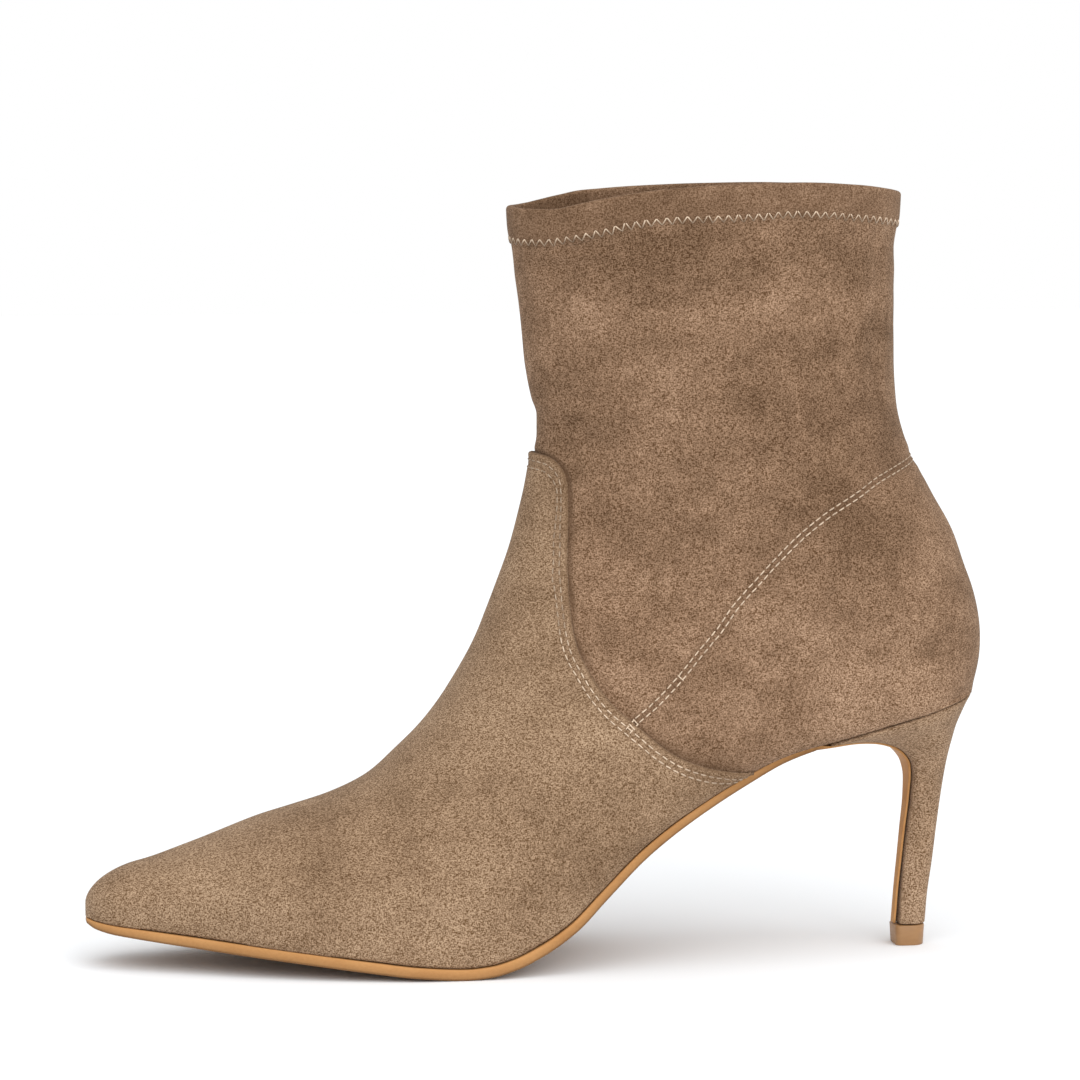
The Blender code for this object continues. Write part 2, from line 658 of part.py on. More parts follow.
def outsole_rows():
    """Side-view point, middle, half width and thickness along the outsole's glued face."""
    rows = []
    start = GAP / SHOE_LENGTH
    round_steps = [1 - math.cos(i * math.pi / 2 / TOE_STEPS) for i in range(1, TOE_STEPS)]
    toe = [start + TOE_RADIUS / SHOE_LENGTH * s for s in round_steps]
    waist_end = along_at(x_at(SEAT_END) + SEAT_LENGTH) - 4 * MM / SHOE_LENGTH
    for along in toe + list(np.linspace(0.04, waist_end, LINE_STEPS)):
        centre, half = sole_sides(along)
        half = half * WAIST["width"](along) + SOLE_EDGE
        gauge = SOLE_THICKNESS * WAIST["gauge"](along)
        rows.append((x_at(along), sole_height(along) - GAP, centre, half, gauge))
    for fx, fz, _, _, _, face in reversed(heel_rows()):
        rows.append((fx, fz, 0.0, face - FLAP_MARGIN, FLAP_THICKNESS))
    return rows


def make_outsole():
    """The outsole from the toe to the waist and down the breast of the heel."""
    rows = outsole_rows()
    line = np.array([row[:2] for row in rows])
    normal = outward(line)
    on_heel = len(heel_rows())
    line[-on_heel:] += normal[-on_heel:] * GAP
    rings = []
    for (x, z), (nx, nz), (_, _, centre, half, gauge) in zip(line, normal, rows):
        bevel = min(SOLE_BEVEL, half / 2, gauge / 2)
        ring = []
        for across, down in (
            (half, 0.0), (-half, 0.0), (-half, gauge - bevel),
            (bevel - half, gauge), (half - bevel, gauge), (half, gauge - bevel),
        ):
            ring.append((x + nx * down, centre + across, max(z + nz * down, 0.0)))
        rings.append(ring)
    return loft("outsole", rings)


def finished(piece, finish, collection):
    """The piece with its material, shaded smoothly, in its collection."""
    shading = piece.modifiers.new("even shading", "WEIGHTED_NORMAL")
    shading.weight = 80
    material = bpy.data.materials.new(piece.name)
    material.use_nodes = True
    shader = material.node_tree.nodes["Principled BSDF"]
    shader.inputs["Base Color"].default_value = (*finish.color, 1.0)
    shader.inputs["Roughness"].default_value = finish.roughness
    piece.data.materials.append(material)
    piece.data.set_sharp_from_angle(angle=math.radians(40))
    collection.objects.link(piece)


def main():
    for old in list(bpy.data.objects):
        bpy.data.objects.remove(old)
    bootie = bpy.data.collections.new("ankle bootie")
    cutters = bpy.data.collections.new("cutters")
    bpy.context.scene.collection.children.link(bootie)
    bpy.context.scene.collection.children.link(cutters)
    finished(make_upper(), SUEDE, bootie)
    finished(make_insole(), SOCK_LEATHER, bootie)
    finished(make_outsole(), SOLE_LEATHER, bootie)
    finished(make_heel(), SUEDE, bootie)
    finished(make_top_lift(), TIP_RUBBER, bootie)


main()
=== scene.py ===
"""A stiletto ankle bootie in faux suede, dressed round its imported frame.

Sizes are in metres. +X runs to the toe, +Y to the outer side of the foot and +Z up, with the
origin on the floor under the boot's middle. The tables hold shares of the named sizes, and
describe the solids' form to within about 3 mm, so that each sewn piece lies where its solid is.

A place on the upper is a way and a turn. The way runs from the toe (0) over the instep and
the heel to above the collar (1). The turn runs from the inner side of the sole's edge (-1)
over the ridge (0) to the outer side (1), and above the seat both ends meet at the back.
"""

import math
from collections import namedtuple

import bmesh
import bpy
import numpy as np
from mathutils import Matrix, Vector
from mathutils import noise
from mathutils.bvhtree import BVHTree
from mathutils.kdtree import KDTree


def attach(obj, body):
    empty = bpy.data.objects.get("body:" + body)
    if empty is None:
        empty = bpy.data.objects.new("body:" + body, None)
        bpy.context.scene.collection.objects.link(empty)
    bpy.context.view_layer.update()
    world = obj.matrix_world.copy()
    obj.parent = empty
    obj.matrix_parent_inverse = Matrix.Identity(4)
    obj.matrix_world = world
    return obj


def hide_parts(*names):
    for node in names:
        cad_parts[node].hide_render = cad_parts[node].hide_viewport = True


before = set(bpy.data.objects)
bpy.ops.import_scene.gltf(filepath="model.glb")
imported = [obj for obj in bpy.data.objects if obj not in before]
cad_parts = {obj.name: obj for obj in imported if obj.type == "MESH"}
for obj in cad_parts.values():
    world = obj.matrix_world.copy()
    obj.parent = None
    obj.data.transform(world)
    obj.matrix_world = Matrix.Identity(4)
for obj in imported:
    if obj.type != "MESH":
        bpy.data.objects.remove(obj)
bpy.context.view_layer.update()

MM = 0.001


def table(names, rows):
    """Rows with named columns."""
    row_type = namedtuple("Row", names)
    return [row_type(*row) for row in rows]


# Sizes of the boot
SHOE_LENGTH = 255.5 * MM
BALL_WIDTH = 72.6 * MM
HEEL_HEIGHT = 73.4 * MM
BOOT_HEIGHT = 218.2 * MM
TOE_SPRING = 10.4 * MM
TOE_WIDTH = 17.0 * MM
TOE_RADIUS = 9.0 * MM
CROWN_RADIUS = 14.5 * MM
TOE_NOSE = 3.4 * MM
SEAT_RADIUS = 24.0 * MM
COLLAR_DIP = 7.2 * MM

# Walls, layers and gaps
WALL = 1.6 * MM
VAMP_STEP = 0.9 * MM
HEM_STEP = 0.4 * MM
LASTING_THICKNESS = 1.4 * MM
INSOLE_THICKNESS = 2.2 * MM
INSOLE_GAP = 1.1 * MM
SOLE_THICKNESS = 3.1 * MM
FLAP_THICKNESS = 0.65 * MM
SOLE_EDGE = 0.7 * MM
FLAP_MARGIN = 1.4 * MM
BREAST_COVER = 0.60 * MM  # the cover's thickness over the heel's breast
GAP = 0.3 * MM
RAND = 0.3 * MM
TREAD = SOLE_THICKNESS + GAP
SEAT_RISE = HEEL_HEIGHT - TREAD
LEG_HEIGHT = BOOT_HEIGHT - HEEL_HEIGHT
SEAT_END = 0.989
TOE_END = TOE_RADIUS / SHOE_LENGTH * 0.8  # how far the toe's finer rows reach

# The heel and its tip
SEAT_WIDTH = 47.4 * MM
SEAT_LENGTH = 44.8 * MM
SEAT_SWELL = 0.40
SEAT_SOFT = 34 * MM  # reach of the evened surface round the seat
SEAT_ROUNDS = 70
TIP_LENGTH = 9.2 * MM
TIP_WIDTH = 9.8 * MM
TIP_HEIGHT = 5.8 * MM
TIP_TAPER = 0.3 * MM
TIP_CORNER = 1.6 * MM
TIP_OVERHANG = -0.2 * MM
TIP_LEDGE = 1.9 * MM
HEEL_TIP_AT = 0.9207

# Cloth, folds and thread
CLOTH = 0.45 * MM
INNER_CLOTH = 0.30 * MM
HEM_INSIDE = 1.75 * MM  # the turned-in hem's face, inwards of the shaft's
HEM_TURN_IN = 11.0 * MM
HEM_FOOT = 16.0  # in mm below the edge, where the finer rows begin
HEM_RADIUS = (HEM_STEP + HEM_INSIDE) / 2
HEM_MIDDLE = (HEM_STEP - HEM_INSIDE) / 2
LINING_FACE = 2.60 * MM
VAMP_ROLL = 0.9 * MM  # width of the vamp's rounded edge
VAMP_CURL = 0.6 * MM
VAMP_CLOTH = VAMP_STEP - 0.1 * MM
TURNED_UNDER = 8.0 * MM  # the upper's edge lapped under the insole
THREAD = 0.20 * MM  # half the thread's thickness
COUNTER_ROW = 0.78 * MM  # each row's distance from the counter's seam
COUNTER_STEPS = 220
COUNTER_BARS = (3, 9, 48)  # steps at which the two rows are locked
VAMP_STITCHES = (2.1 * MM, 3.7 * MM)  # the two rows' distances from the vamp's edge

# Height of the sole's edge, in shares of the toe spring and of the seat's rise
SOLE_LINE = table("along spring rise", [
    (0.000, 1.000, 0.000),
    (0.030, 0.915, 0.000),
    (0.117, 0.705, 0.000),
    (0.222, 0.440, 0.000),
    (0.290, 0.245, 0.000),
    (0.350, 0.075, 0.000),
    (0.400, 0.000, 0.000),
    (0.425, 0.000, 0.008),
    (0.450, 0.000, 0.031),
    (0.482, 0.000, 0.083),
    (0.516, 0.000, 0.161),
    (0.550, 0.000, 0.279),
    (0.596, 0.000, 0.434),
    (0.643, 0.000, 0.557),
    (0.700, 0.000, 0.679),
    (0.760, 0.000, 0.782),
    (0.827, 0.000, 0.849),
    (0.903, 0.000, 0.923),
    (0.957, 0.000, 0.972),
    (0.989, 0.000, 1.000),
])

# Plan of the sole's edge in ball widths
SOLE_PLAN = table("along outer inner", [
    (0.035, 0.108, 0.222),
    (0.075, 0.170, 0.272),
    (0.120, 0.243, 0.335),
    (0.180, 0.341, 0.402),
    (0.240, 0.417, 0.452),
    (0.300, 0.472, 0.488),
    (0.360, 0.503, 0.497),
    (0.420, 0.503, 0.480),
    (0.480, 0.478, 0.430),
    (0.540, 0.433, 0.367),
    (0.600, 0.388, 0.316),
    (0.660, 0.353, 0.288),
    (0.720, 0.332, 0.282),
    (0.800, 0.325, 0.304),
    (0.880, 0.326, 0.326),
    (0.989, 0.326, 0.326),
])

# The sole's edge, then the back of the leg; sunk is the share of the vamp's step let in
UNDER_LINE = table("way along lift sunk", [
    (0.00, 0.0000, 0.000, 1.0),
    (0.10, 0.1250, 0.000, 1.0),
    (0.20, 0.2750, 0.000, 1.0),
    (0.28, 0.4000, 0.000, 1.0),
    (0.36, 0.5350, 0.000, 1.0),
    (0.42, 0.6700, 0.000, 1.0),
    (0.46, 0.7750, 0.000, 0.0),
    (0.50, 0.9000, 0.000, 0.0),
    (0.53, 0.9650, 0.000, 0.0),
    (0.55, 0.9890, 0.000, 0.0),
    (0.56, 0.9960, 0.021, 0.0),
    (0.57, 1.0000, 0.040, 0.0),
    (0.60, 1.0015, 0.105, 0.0),
    (0.63, 0.9955, 0.170, 0.0),
    (0.66, 0.9815, 0.240, 0.0),
    (0.70, 0.9645, 0.330, 0.0),
    (0.75, 0.9390, 0.422, 0.0),
    (0.80, 0.9165, 0.505, 0.0),
    (0.85, 0.9015, 0.605, 0.0),
    (0.90, 0.8978, 0.725, 0.0),
    (0.94, 0.8965, 0.825, 0.0),
    (0.97, 0.9005, 0.905, 0.0),
    (1.00, 0.9040, 1.036, 0.0),
])

# The vamp's ridge, then the front of the leg
OVER_LINE = table("way along lift sunk", [
    (0.00, 0.0000, 0.1190, 1.0),
    (0.05, 0.0620, 0.1335, 1.0),
    (0.10, 0.1260, 0.1590, 1.0),
    (0.15, 0.1980, 0.1890, 1.0),
    (0.20, 0.2680, 0.2140, 1.0),
    (0.24, 0.3115, 0.2380, 1.0),
    (0.28, 0.3460, 0.2735, 1.0),
    (0.32, 0.3795, 0.3145, 1.0),
    (0.36, 0.4069, 0.3619, 1.0),
    (0.40, 0.4310, 0.4140, 1.0),
    (0.44, 0.4500, 0.4731, 1.0),
    (0.48, 0.4674, 0.5327, 1.0),
    (0.52, 0.4826, 0.6013, 1.0),
    (0.55, 0.4924, 0.6486, 0.5),
    (0.58, 0.4979, 0.6750, 0.0),
    (0.62, 0.4977, 0.7025, 0.0),
    (0.66, 0.4925, 0.7237, 0.0),
    (0.74, 0.4856, 0.7656, 0.0),
    (0.82, 0.4791, 0.8417, 0.0),
    (0.90, 0.4716, 0.9099, 0.0),
    (0.95, 0.4669, 0.9518, 0.0),
    (1.00, 0.4642, 1.0520, 0.0),
])

# Half width, place of the widest point and sideways place of the ridge, by way
GIRTHS = table("way width swell ridge", [
    (0.000, 0.120, 0.36, -0.068),
    (0.028, 0.174, 0.35, -0.066),
    (0.060, 0.238, 0.34, -0.063),
    (0.100, 0.312, 0.32, -0.058),
    (0.150, 0.415, 0.29, -0.052),
    (0.200, 0.482, 0.26, -0.048),
    (0.240, 0.512, 0.25, -0.045),
    (0.280, 0.520, 0.25, -0.041),
    (0.320, 0.506, 0.26, -0.036),
    (0.360, 0.478, 0.28, -0.030),
    (0.400, 0.450, 0.31, -0.023),
    (0.440, 0.428, 0.34, -0.016),
    (0.500, 0.410, 0.36, -0.006),
    (0.550, 0.402, 0.37, -0.001),
    (0.600, 0.396, 0.38, 0.000),
    (0.700, 0.378, 0.43, 0.000),
    (0.800, 0.366, 0.48, 0.000),
    (0.900, 0.372, 0.50, 0.000),
    (1.000, 0.385, 0.50, 0.000),
])

# Slant tips the collar to the outer side, and stitches is the zigzag's depth in dips
COLLAR_LINE = table("along dip slant stitches", [
    (0.400, 0.84, 0.050, 1.30),
    (0.464, 0.90, 0.050, 1.30),
    (0.476, 0.93, 0.050, 1.29),
    (0.488, 0.91, 0.050, 1.29),
    (0.507, 0.84, 0.060, 1.28),
    (0.523, 0.72, 0.050, 1.31),
    (0.537, 0.61, 0.040, 1.32),
    (0.555, 0.48, 0.033, 1.32),
    (0.580, 0.36, 0.016, 1.23),
    (0.620, 0.21, 0.002, 1.22),
    (0.702, 0.06, -0.010, 1.30),
    (0.770, 0.02, -0.012, 1.21),
    (0.842, 0.11, -0.010, 1.27),
    (0.887, 0.27, -0.004, 1.29),
    (0.910, 0.42, 0.000, 1.29),
])

# The vamp's back edge, down from the front of the ankle, in leg heights over the seat
VAMP_SEAM = table("along height", [
    (0.4700, 0.4860),
    (0.4957, 0.4793),
    (0.5060, 0.4740),
    (0.5135, 0.4630),
    (0.5195, 0.4470),
    (0.5228, 0.4240),
    (0.5232, 0.3900),
    (0.5222, 0.3300),
    (0.5205, 0.2700),
    (0.5207, 0.2200),
    (0.5230, 0.1560),
    (0.5277, 0.1131),
    (0.5374, 0.0757),
    (0.5499, 0.0382),
    (0.5655, 0.0050),
    (0.5843, -0.0240),
    (0.6005, -0.0484),
    (0.6199, -0.0765),
    (0.6425, -0.1000),
    (0.6715, -0.1185),
    (0.7070, -0.1325),
    (0.7600, -0.1450),
])

# The counter's seam from the vamp's edge up to the back of the ankle
COUNTER_SEAM = table("along height", [
    (0.5800, -0.0360),
    (0.5930, -0.0150),
    (0.6064, 0.0040),
    (0.6355, 0.0548),
    (0.6613, 0.1069),
    (0.6825, 0.1495),
    (0.6985, 0.1890),
    (0.7262, 0.2428),
    (0.7445, 0.2781),
    (0.7704, 0.3229),
    (0.8006, 0.3640),
    (0.8364, 0.4006),
    (0.8622, 0.4273),
    (0.8853, 0.4440),
    (0.9150, 0.4620),
])

# The heel from its tip up: places from tip to seat, heights in shares of the seat's
HEEL_SECTIONS = table("breast breast_height back back_height width face", [
    (0.000, 0.0890, 0.000, 0.0860, 0.188, 0.140),
    (-0.025, 0.235, 0.055, 0.207, 0.190, 0.142),
    (-0.055, 0.360, 0.150, 0.330, 0.198, 0.150),
    (-0.087, 0.490, 0.240, 0.465, 0.216, 0.162),
    (-0.120, 0.610, 0.330, 0.590, 0.250, 0.184),
    (-0.130, 0.700, 0.415, 0.695, 0.306, 0.220),
    (-0.105, 0.765, 0.480, 0.765, 0.390, 0.290),
    (-0.005, 0.828, 0.565, 0.830, 0.520, 0.380),
    (0.180, 0.886, 0.665, 0.890, 0.655, 0.470),
    (0.430, 0.932, 0.780, 0.936, 0.805, 0.580),
    (0.690, 0.964, 0.885, 0.972, 0.925, 0.720),
    (1.000, 0.990, 1.000, 1.000, 1.000, 0.880),
])

# The outsole's width and thickness, in shares of the full sizes
SOLE_WAIST = table("along width gauge", [
    (0.000, 1.00, 0.36),
    (0.010, 1.00, 0.68),
    (0.035, 1.00, 0.84),
    (0.110, 1.00, 0.97),
    (0.220, 1.00, 1.00),
    (0.450, 1.00, 1.00),
    (0.540, 1.00, 0.90),
    (0.660, 0.98, 0.82),
    (0.720, 0.92, 0.74),
    (0.760, 0.85, 0.60),
    (0.800, 0.80, 0.45),
])

# Soft troughs in the shaft, drawn in the side view: ends in shares of the boot's length and
# height, half width and depth in shares of the wall
FOLDS = table("along height to_along to_height width depth", [
    (0.868, 0.930, 0.862, 0.700, 1.6, 0.22),
    (0.500, 0.690, 0.560, 0.655, 2.6, 0.26),
    (0.505, 0.730, 0.545, 0.715, 2.4, 0.18),
    (0.905, 0.655, 0.860, 0.625, 2.8, 0.26),
    (0.520, 0.905, 0.505, 0.820, 3.0, 0.20),
    (0.880, 0.600, 0.820, 0.555, 3.4, 0.22),
    (0.560, 0.560, 0.600, 0.470, 4.0, 0.20),
    (0.514, 0.918, 0.556, 0.927, 0.9, 0.60),
    (0.485, 0.900, 0.520, 0.890, 1.6, 0.30),
    (0.600, 0.918, 0.640, 0.928, 1.2, 0.22),
])

# Tone painted on the suede, darker (below 0) or lighter, in shares of the boot's length and height:
# partly the nap's own blotches, partly painted shade at the leg's edges and puckers and painted light on
# the counter
NAP_AND_PAINTED_LIGHT_PATCHES = table("along height size tone", [
    (0.680, 0.822, 0.070, 0.05),
    (0.645, 0.700, 0.060, 0.05),
    (0.590, 0.920, 0.050, -0.25),
    (0.826, 0.911, 0.050, -0.30),
    (0.500, 0.806, 0.070, 0.25),
    (0.865, 0.806, 0.050, -0.12),
    (0.880, 0.662, 0.045, -0.40),
    (0.860, 0.548, 0.045, -0.25),
    (0.815, 0.347, 0.090, 0.92),
    (0.920, 0.363, 0.055, 0.40),
    (0.920, 0.404, 0.022, -0.35),
    (0.900, 0.480, 0.050, 0.25),
    (0.680, 0.262, 0.040, -0.45),
    (0.657, 0.505, 0.060, -0.12),
    (0.475, 0.291, 0.070, 0.35),
    (0.344, 0.064, 0.060, 0.40),
    (0.200, 0.081, 0.060, 0.30),
    (0.280, 0.177, 0.050, -0.25),
    (0.468, 0.097, 0.040, -0.60),
    (0.540, 0.120, 0.035, -0.60),
    (0.555, 0.242, 0.040, -0.35),
])

# Size, spacing, turn and seed of the stitches in each seam
SEAMS = table("name length droop pitch swing wander seed", [
    ("thread_hem", 2.65 * MM, 0.22 * MM, 1.42 * MM, 0.98, 0.12, 3),
    ("thread_vamp", 1.85 * MM, 0.16 * MM, 2.50 * MM, 0.00, 0.07, 5),
    ("thread_counter", 1.85 * MM, 0.16 * MM, 2.40 * MM, 0.00, 0.06, 7),
])

# Tones of the suedes, and how strongly each varies
SUEDES = table("name dark middle light contrast", [
    ("shaft_suede", (0.138, 0.079, 0.044), (0.212, 0.126, 0.074), (0.288, 0.178, 0.109), 1.0),
    ("vamp_suede", (0.178, 0.109, 0.062), (0.250, 0.159, 0.094), (0.312, 0.205, 0.125), 0.8),
    ("heel_suede", (0.190, 0.118, 0.070), (0.285, 0.182, 0.110), (0.350, 0.232, 0.147), 0.8),
])

# Floor, lights and camera
FLOOR_TONE = (0.93, 0.95, 0.97, 1.0)
ROOM_LIGHT = 0.78
SKY_LIGHT = 1.5
SKY_FROM = (-0.06, 0.60, 1.0)
SKY_SPREAD = math.radians(80)
FRONT_LIGHT = 4.5
FRONT_LIGHT_SIZE = 0.9
FRONT_LIGHT_PLACE = (-0.30, 1.30, 0.60)
FRONT_LIGHT_AIM = (0, 0, 0.09)
CAMERA_DISTANCE = 1.25
CAMERA_TURN = math.radians(9.0)  # towards the toe from square on
CAMERA_PITCH = math.radians(5.474)
CAMERA_HEIGHT = 0.2377
CAMERA_SHIFT = -0.45 * MM
CAMERA_LENS = 148.8
SENSOR_WIDTH = 36.0

# Steps of the grids
SIDE_STEPS = 120
RAIL_STEPS = 1200
BODY_ROWS = 108
VAMP_ROWS = 118
TOE_ROWS = 12
LINING_SIDE_STEPS = 60


def smooth_column(rows, key, name):
    """A column of a table as a smooth curve over another column, with no overshoot."""
    x = np.array([getattr(row, key) for row in rows])
    y = np.array([getattr(row, name) for row in rows])
    step, rise = np.diff(x), np.diff(y)
    chord = rise / step
    slope = np.concatenate([chord[:1], np.zeros(len(x) - 2), chord[-1:]])
    for i in range(1, len(x) - 1):
        if chord[i - 1] * chord[i] > 0:
            before, after = 2 * step[i] + step[i - 1], step[i] + 2 * step[i - 1]
            slope[i] = (before + after) / (before / chord[i - 1] + after / chord[i])

    def value(at):
        at = np.clip(at, x[0], x[-1])
        i = np.clip(np.searchsorted(x, at, side="right") - 1, 0, len(step) - 1)
        t = (at - x[i]) / step[i]
        bend = (slope[i] + slope[i + 1]) * step[i] - 2 * rise[i]
        lean = 3 * rise[i] - (2 * slope[i] + slope[i + 1]) * step[i]
        return y[i] + t * (slope[i] * step[i] + t * (lean + t * bend))

    return value


def columns(rows, key):
    """Every other column of a table as a smooth curve over the key column."""
    return {name: smooth_column(rows, key, name) for name in rows[0]._fields if name != key}


SOLE = columns(SOLE_LINE, "along")
PLAN = columns(SOLE_PLAN, "along")
UNDER = columns(UNDER_LINE, "way")
OVER = columns(OVER_LINE, "way")
GIRTH = columns(GIRTHS, "way")
COLLAR = columns(COLLAR_LINE, "along")
WAIST = columns(SOLE_WAIST, "along")


def x_at(along):
    """Place along the boot at a share of its length from the toe."""
    return (0.5 - along) * SHOE_LENGTH


def along_at(x):
    """Share of the length from the toe at a place along the boot."""
    return 0.5 - x / SHOE_LENGTH


def sole_height(along):
    """Height of the sole's edge, where the upper meets the outsole."""
    return TREAD + TOE_SPRING * SOLE["spring"](along) + SEAT_RISE * SOLE["rise"](along)


def collar_height(at):
    """Height of the collar's edge at each point."""
    along = along_at(at[..., 0])
    return BOOT_HEIGHT - COLLAR_DIP * COLLAR["dip"](along) - COLLAR["slant"](along) * at[..., 1]


def rounded_end(distance, radius):
    """Share of the full breadth at a distance from a rounded end."""
    left = 1 - np.clip(distance / radius, 0.0, 1.0)
    return np.sqrt(1 - left * left)


def eased(share):
    """A soft step from 0 to 1."""
    share = np.clip(share, 0.0, 1.0)
    return share * share * (3 - 2 * share)


def sole_sides(along):
    """Middle and half width of the sole's edge in plan."""
    outer = PLAN["outer"](along) * BALL_WIDTH
    inner = PLAN["inner"](along) * BALL_WIDTH
    half = (outer + inner) / 2
    from_toe = along * SHOE_LENGTH
    half = half + (TOE_WIDTH / 2 - half) * np.clip(1 - from_toe / TOE_RADIUS, 0.0, 1.0)
    ends = rounded_end(from_toe, TOE_RADIUS)
    ends = ends * rounded_end((SEAT_END - along) * SHOE_LENGTH, SEAT_RADIUS)
    return (outer - inner) / 2, half * ends


def outward(points):
    """Unit normals of a line in the side view, to the left of its run."""
    run = np.gradient(np.array(points), axis=0)
    run /= np.linalg.norm(run, axis=1)[:, None]
    return np.stack([-run[:, 1], run[:, 0]], axis=1)


def upper_rails():
    """The under and the over line with their normals, at fine ways."""
    toe = TOE_END * (1 - np.cos(np.linspace(0, math.pi / 2, RAIL_STEPS // 10)))
    ways = np.concatenate([toe[:-1], np.linspace(TOE_END, 1.0, RAIL_STEPS)])
    along = UNDER["along"](ways)
    height = sole_height(along) + RAND + LEG_HEIGHT * UNDER["lift"](ways)
    under = np.stack([x_at(along), height], axis=1)
    along = OVER["along"](ways)
    nose = sole_height(along) + TOE_NOSE
    crown = rounded_end(along * SHOE_LENGTH, CROWN_RADIUS)
    height = nose + (BOOT_HEIGHT * OVER["lift"](ways) - nose) * crown
    over = np.stack([x_at(along), height], axis=1)
    down, up = outward(under), -outward(over)
    ahead = np.clip(1 - (x_at(0) - under[:, 0]) / TOE_RADIUS, 0.0, 1.0)
    for away in (down, up):
        away[:, 0] = np.where(ahead > 0, ahead, away[:, 0])
    down[:, 1] = np.where(ahead > 0, 0.0, down[:, 1])
    return ways, under, over, down, up


RAIL_WAYS, *RAILS = upper_rails()


def rail(way, line):
    """A point of a rail at each way."""
    return np.stack([np.interp(way, RAIL_WAYS, line[:, i]) for i in (0, 1)], axis=-1)


def upper_points(way, turn, grow):
    """Points of the upper's outside, moved outwards by grow."""
    way, turn, grow = np.broadcast_arrays(way, turn, grow)
    under, over, down, up = [rail(way, line) for line in RAILS]
    along = UNDER["along"](way)
    on_sole = UNDER["lift"](way) <= 0
    middle, flat = sole_sides(along)
    end = rounded_end(along * SHOE_LENGTH, TOE_RADIUS)
    low = grow - VAMP_STEP * UNDER["sunk"](way)
    high = grow - VAMP_STEP * OVER["sunk"](way)
    under = under + down * low[..., None]
    over = over + up * high[..., None]
    flat = np.where(on_sole & (flat > 0), np.maximum(flat + low * end, 0.0), 0.0)
    half = (GIRTH["width"](way) * BALL_WIDTH + (low + high) / 2) * end
    half = np.maximum(half, flat)
    ridge = GIRTH["ridge"](way) * BALL_WIDTH
    middle = np.where(on_sole, middle, ridge)
    swell = GIRTH["swell"](way)
    side = np.abs(turn)
    angle = math.pi / 2 * np.abs(1 - 2 * side)
    crest = side < 0.5
    u = np.where(crest, swell + (1 - swell) * np.sin(angle), swell * (1 - np.sin(angle)))
    v = np.where(crest, half, half - flat) * np.cos(angle) + np.where(crest, 0.0, flat)
    flat_point = under + (over - under) * u[..., None]
    y = middle + (ridge - middle) * u + np.sign(turn) * v
    return np.stack([flat_point[..., 0], y, flat_point[..., 1]], axis=-1)


def crossing(low, high, ahead):
    """Ways at which ahead(way) falls through nought, between low and high."""
    for _ in range(26):
        middle = (low + high) / 2
        keep = ahead(middle) > 0
        low, high = np.where(keep, middle, low), np.where(keep, high, middle)
    return (low + high) / 2


def seam_curve(rows, steps):
    """A table of seam points as a smooth line in the side view."""
    last = len(rows) - 1
    numbered = table("way along height", [(i / last, *row) for i, row in enumerate(rows)])
    curves = columns(numbered, "way")
    way = np.linspace(0, 1, steps)
    height = HEEL_HEIGHT + LEG_HEIGHT * curves["height"](way)
    return np.stack([x_at(curves["along"](way)), height], axis=1)


def vamp_ways(turns, grow):
    """Ways at which the vamp's back edge crosses each turn."""
    line = seam_curve(VAMP_SEAM, 400)[::-1]

    def ahead(way):
        at = upper_points(way, turns, grow)
        edge = np.interp(at[..., 2], line[:, 1], line[:, 0])
        return np.where(at[..., 2] < line[-1, 1], at[..., 0] - edge, -1.0)

    start = np.full(turns.shape, 0.36)
    return crossing(start, np.full(turns.shape, 0.60), ahead)


def collar_ways(turns, depth, grow):
    """Ways at which each turn reaches a depth below the collar's edge."""

    def ahead(way):
        at = upper_points(way, turns, grow)
        return collar_height(at) - depth - at[..., 2]

    return crossing(np.full(turns.shape, 0.62), np.ones(turns.shape), ahead)


def with_turned_edge(points, ways, grow):
    """The grid with its two side edges lapped under, over the outsole."""
    along = UNDER["along"](ways)
    on_sole = UNDER["lift"](ways) <= 0
    middle, _ = sole_sides(along)
    edges = []
    for side, column in ((-1, points[:, 0]), (1, points[:, -1])):
        laps = []
        for inset, drop in ((0.0, 0.7), (0.02, 0.95), (0.06, 1.0), (0.4, 1.0), (1.0, 1.0)):
            lap = column.copy()
            half = np.maximum(np.abs(column[:, 1] - middle) - inset * TURNED_UNDER, 0.0)
            lap[:, 1] = np.where(on_sole, middle + side * half, column[:, 1])
            level = sole_height(along) + grow
            lap[:, 2] = np.where(on_sole, column[:, 2] + (level - column[:, 2]) * drop, column[:, 2])
            laps.append(lap)
        edges.append(laps)
    left = np.stack(edges[0][::-1], axis=1)
    right = np.stack(edges[1], axis=1)
    return np.concatenate([left, points, right], axis=1)


def mesh_object(name, mesh):
    """A smooth piece made of the mesh."""
    data = bpy.data.meshes.new(name)
    mesh.to_mesh(data)
    mesh.free()
    data.shade_smooth()
    piece = bpy.data.objects.new(name, data)
    bpy.context.scene.collection.objects.link(piece)
    return piece


def cloth_grid(name, points):
    """A grid of points as one sheet of quads, joined where its points fall together."""
    rows, across = points.shape[:2]
    index = np.arange(rows * across).reshape(rows, across)
    quads = np.stack([index[:-1, :-1], index[:-1, 1:], index[1:, 1:], index[1:, :-1]], axis=-1)
    data = bpy.data.meshes.new(name)
    data.from_pydata(points.reshape(-1, 3).tolist(), [], quads.reshape(-1, 4).tolist())
    mesh = bmesh.new()
    mesh.from_mesh(data)
    bpy.data.meshes.remove(data)
    bmesh.ops.remove_doubles(mesh, verts=mesh.verts, dist=0.004 * MM)
    bmesh.ops.dissolve_degenerate(mesh, edges=mesh.edges, dist=0.002 * MM)
    return mesh_object(name, mesh)


def reshaped(piece, relief):
    """Moves the piece's points along their normals by relief(points)."""
    data = piece.data
    at, out = points_of(piece), np.empty(len(data.vertices) * 3)
    data.vertex_normals.foreach_get("vector", out)
    at = at + out.reshape(-1, 3) * relief(at)[:, None]
    data.vertices.foreach_set("co", at.ravel())
    data.update()
    return piece


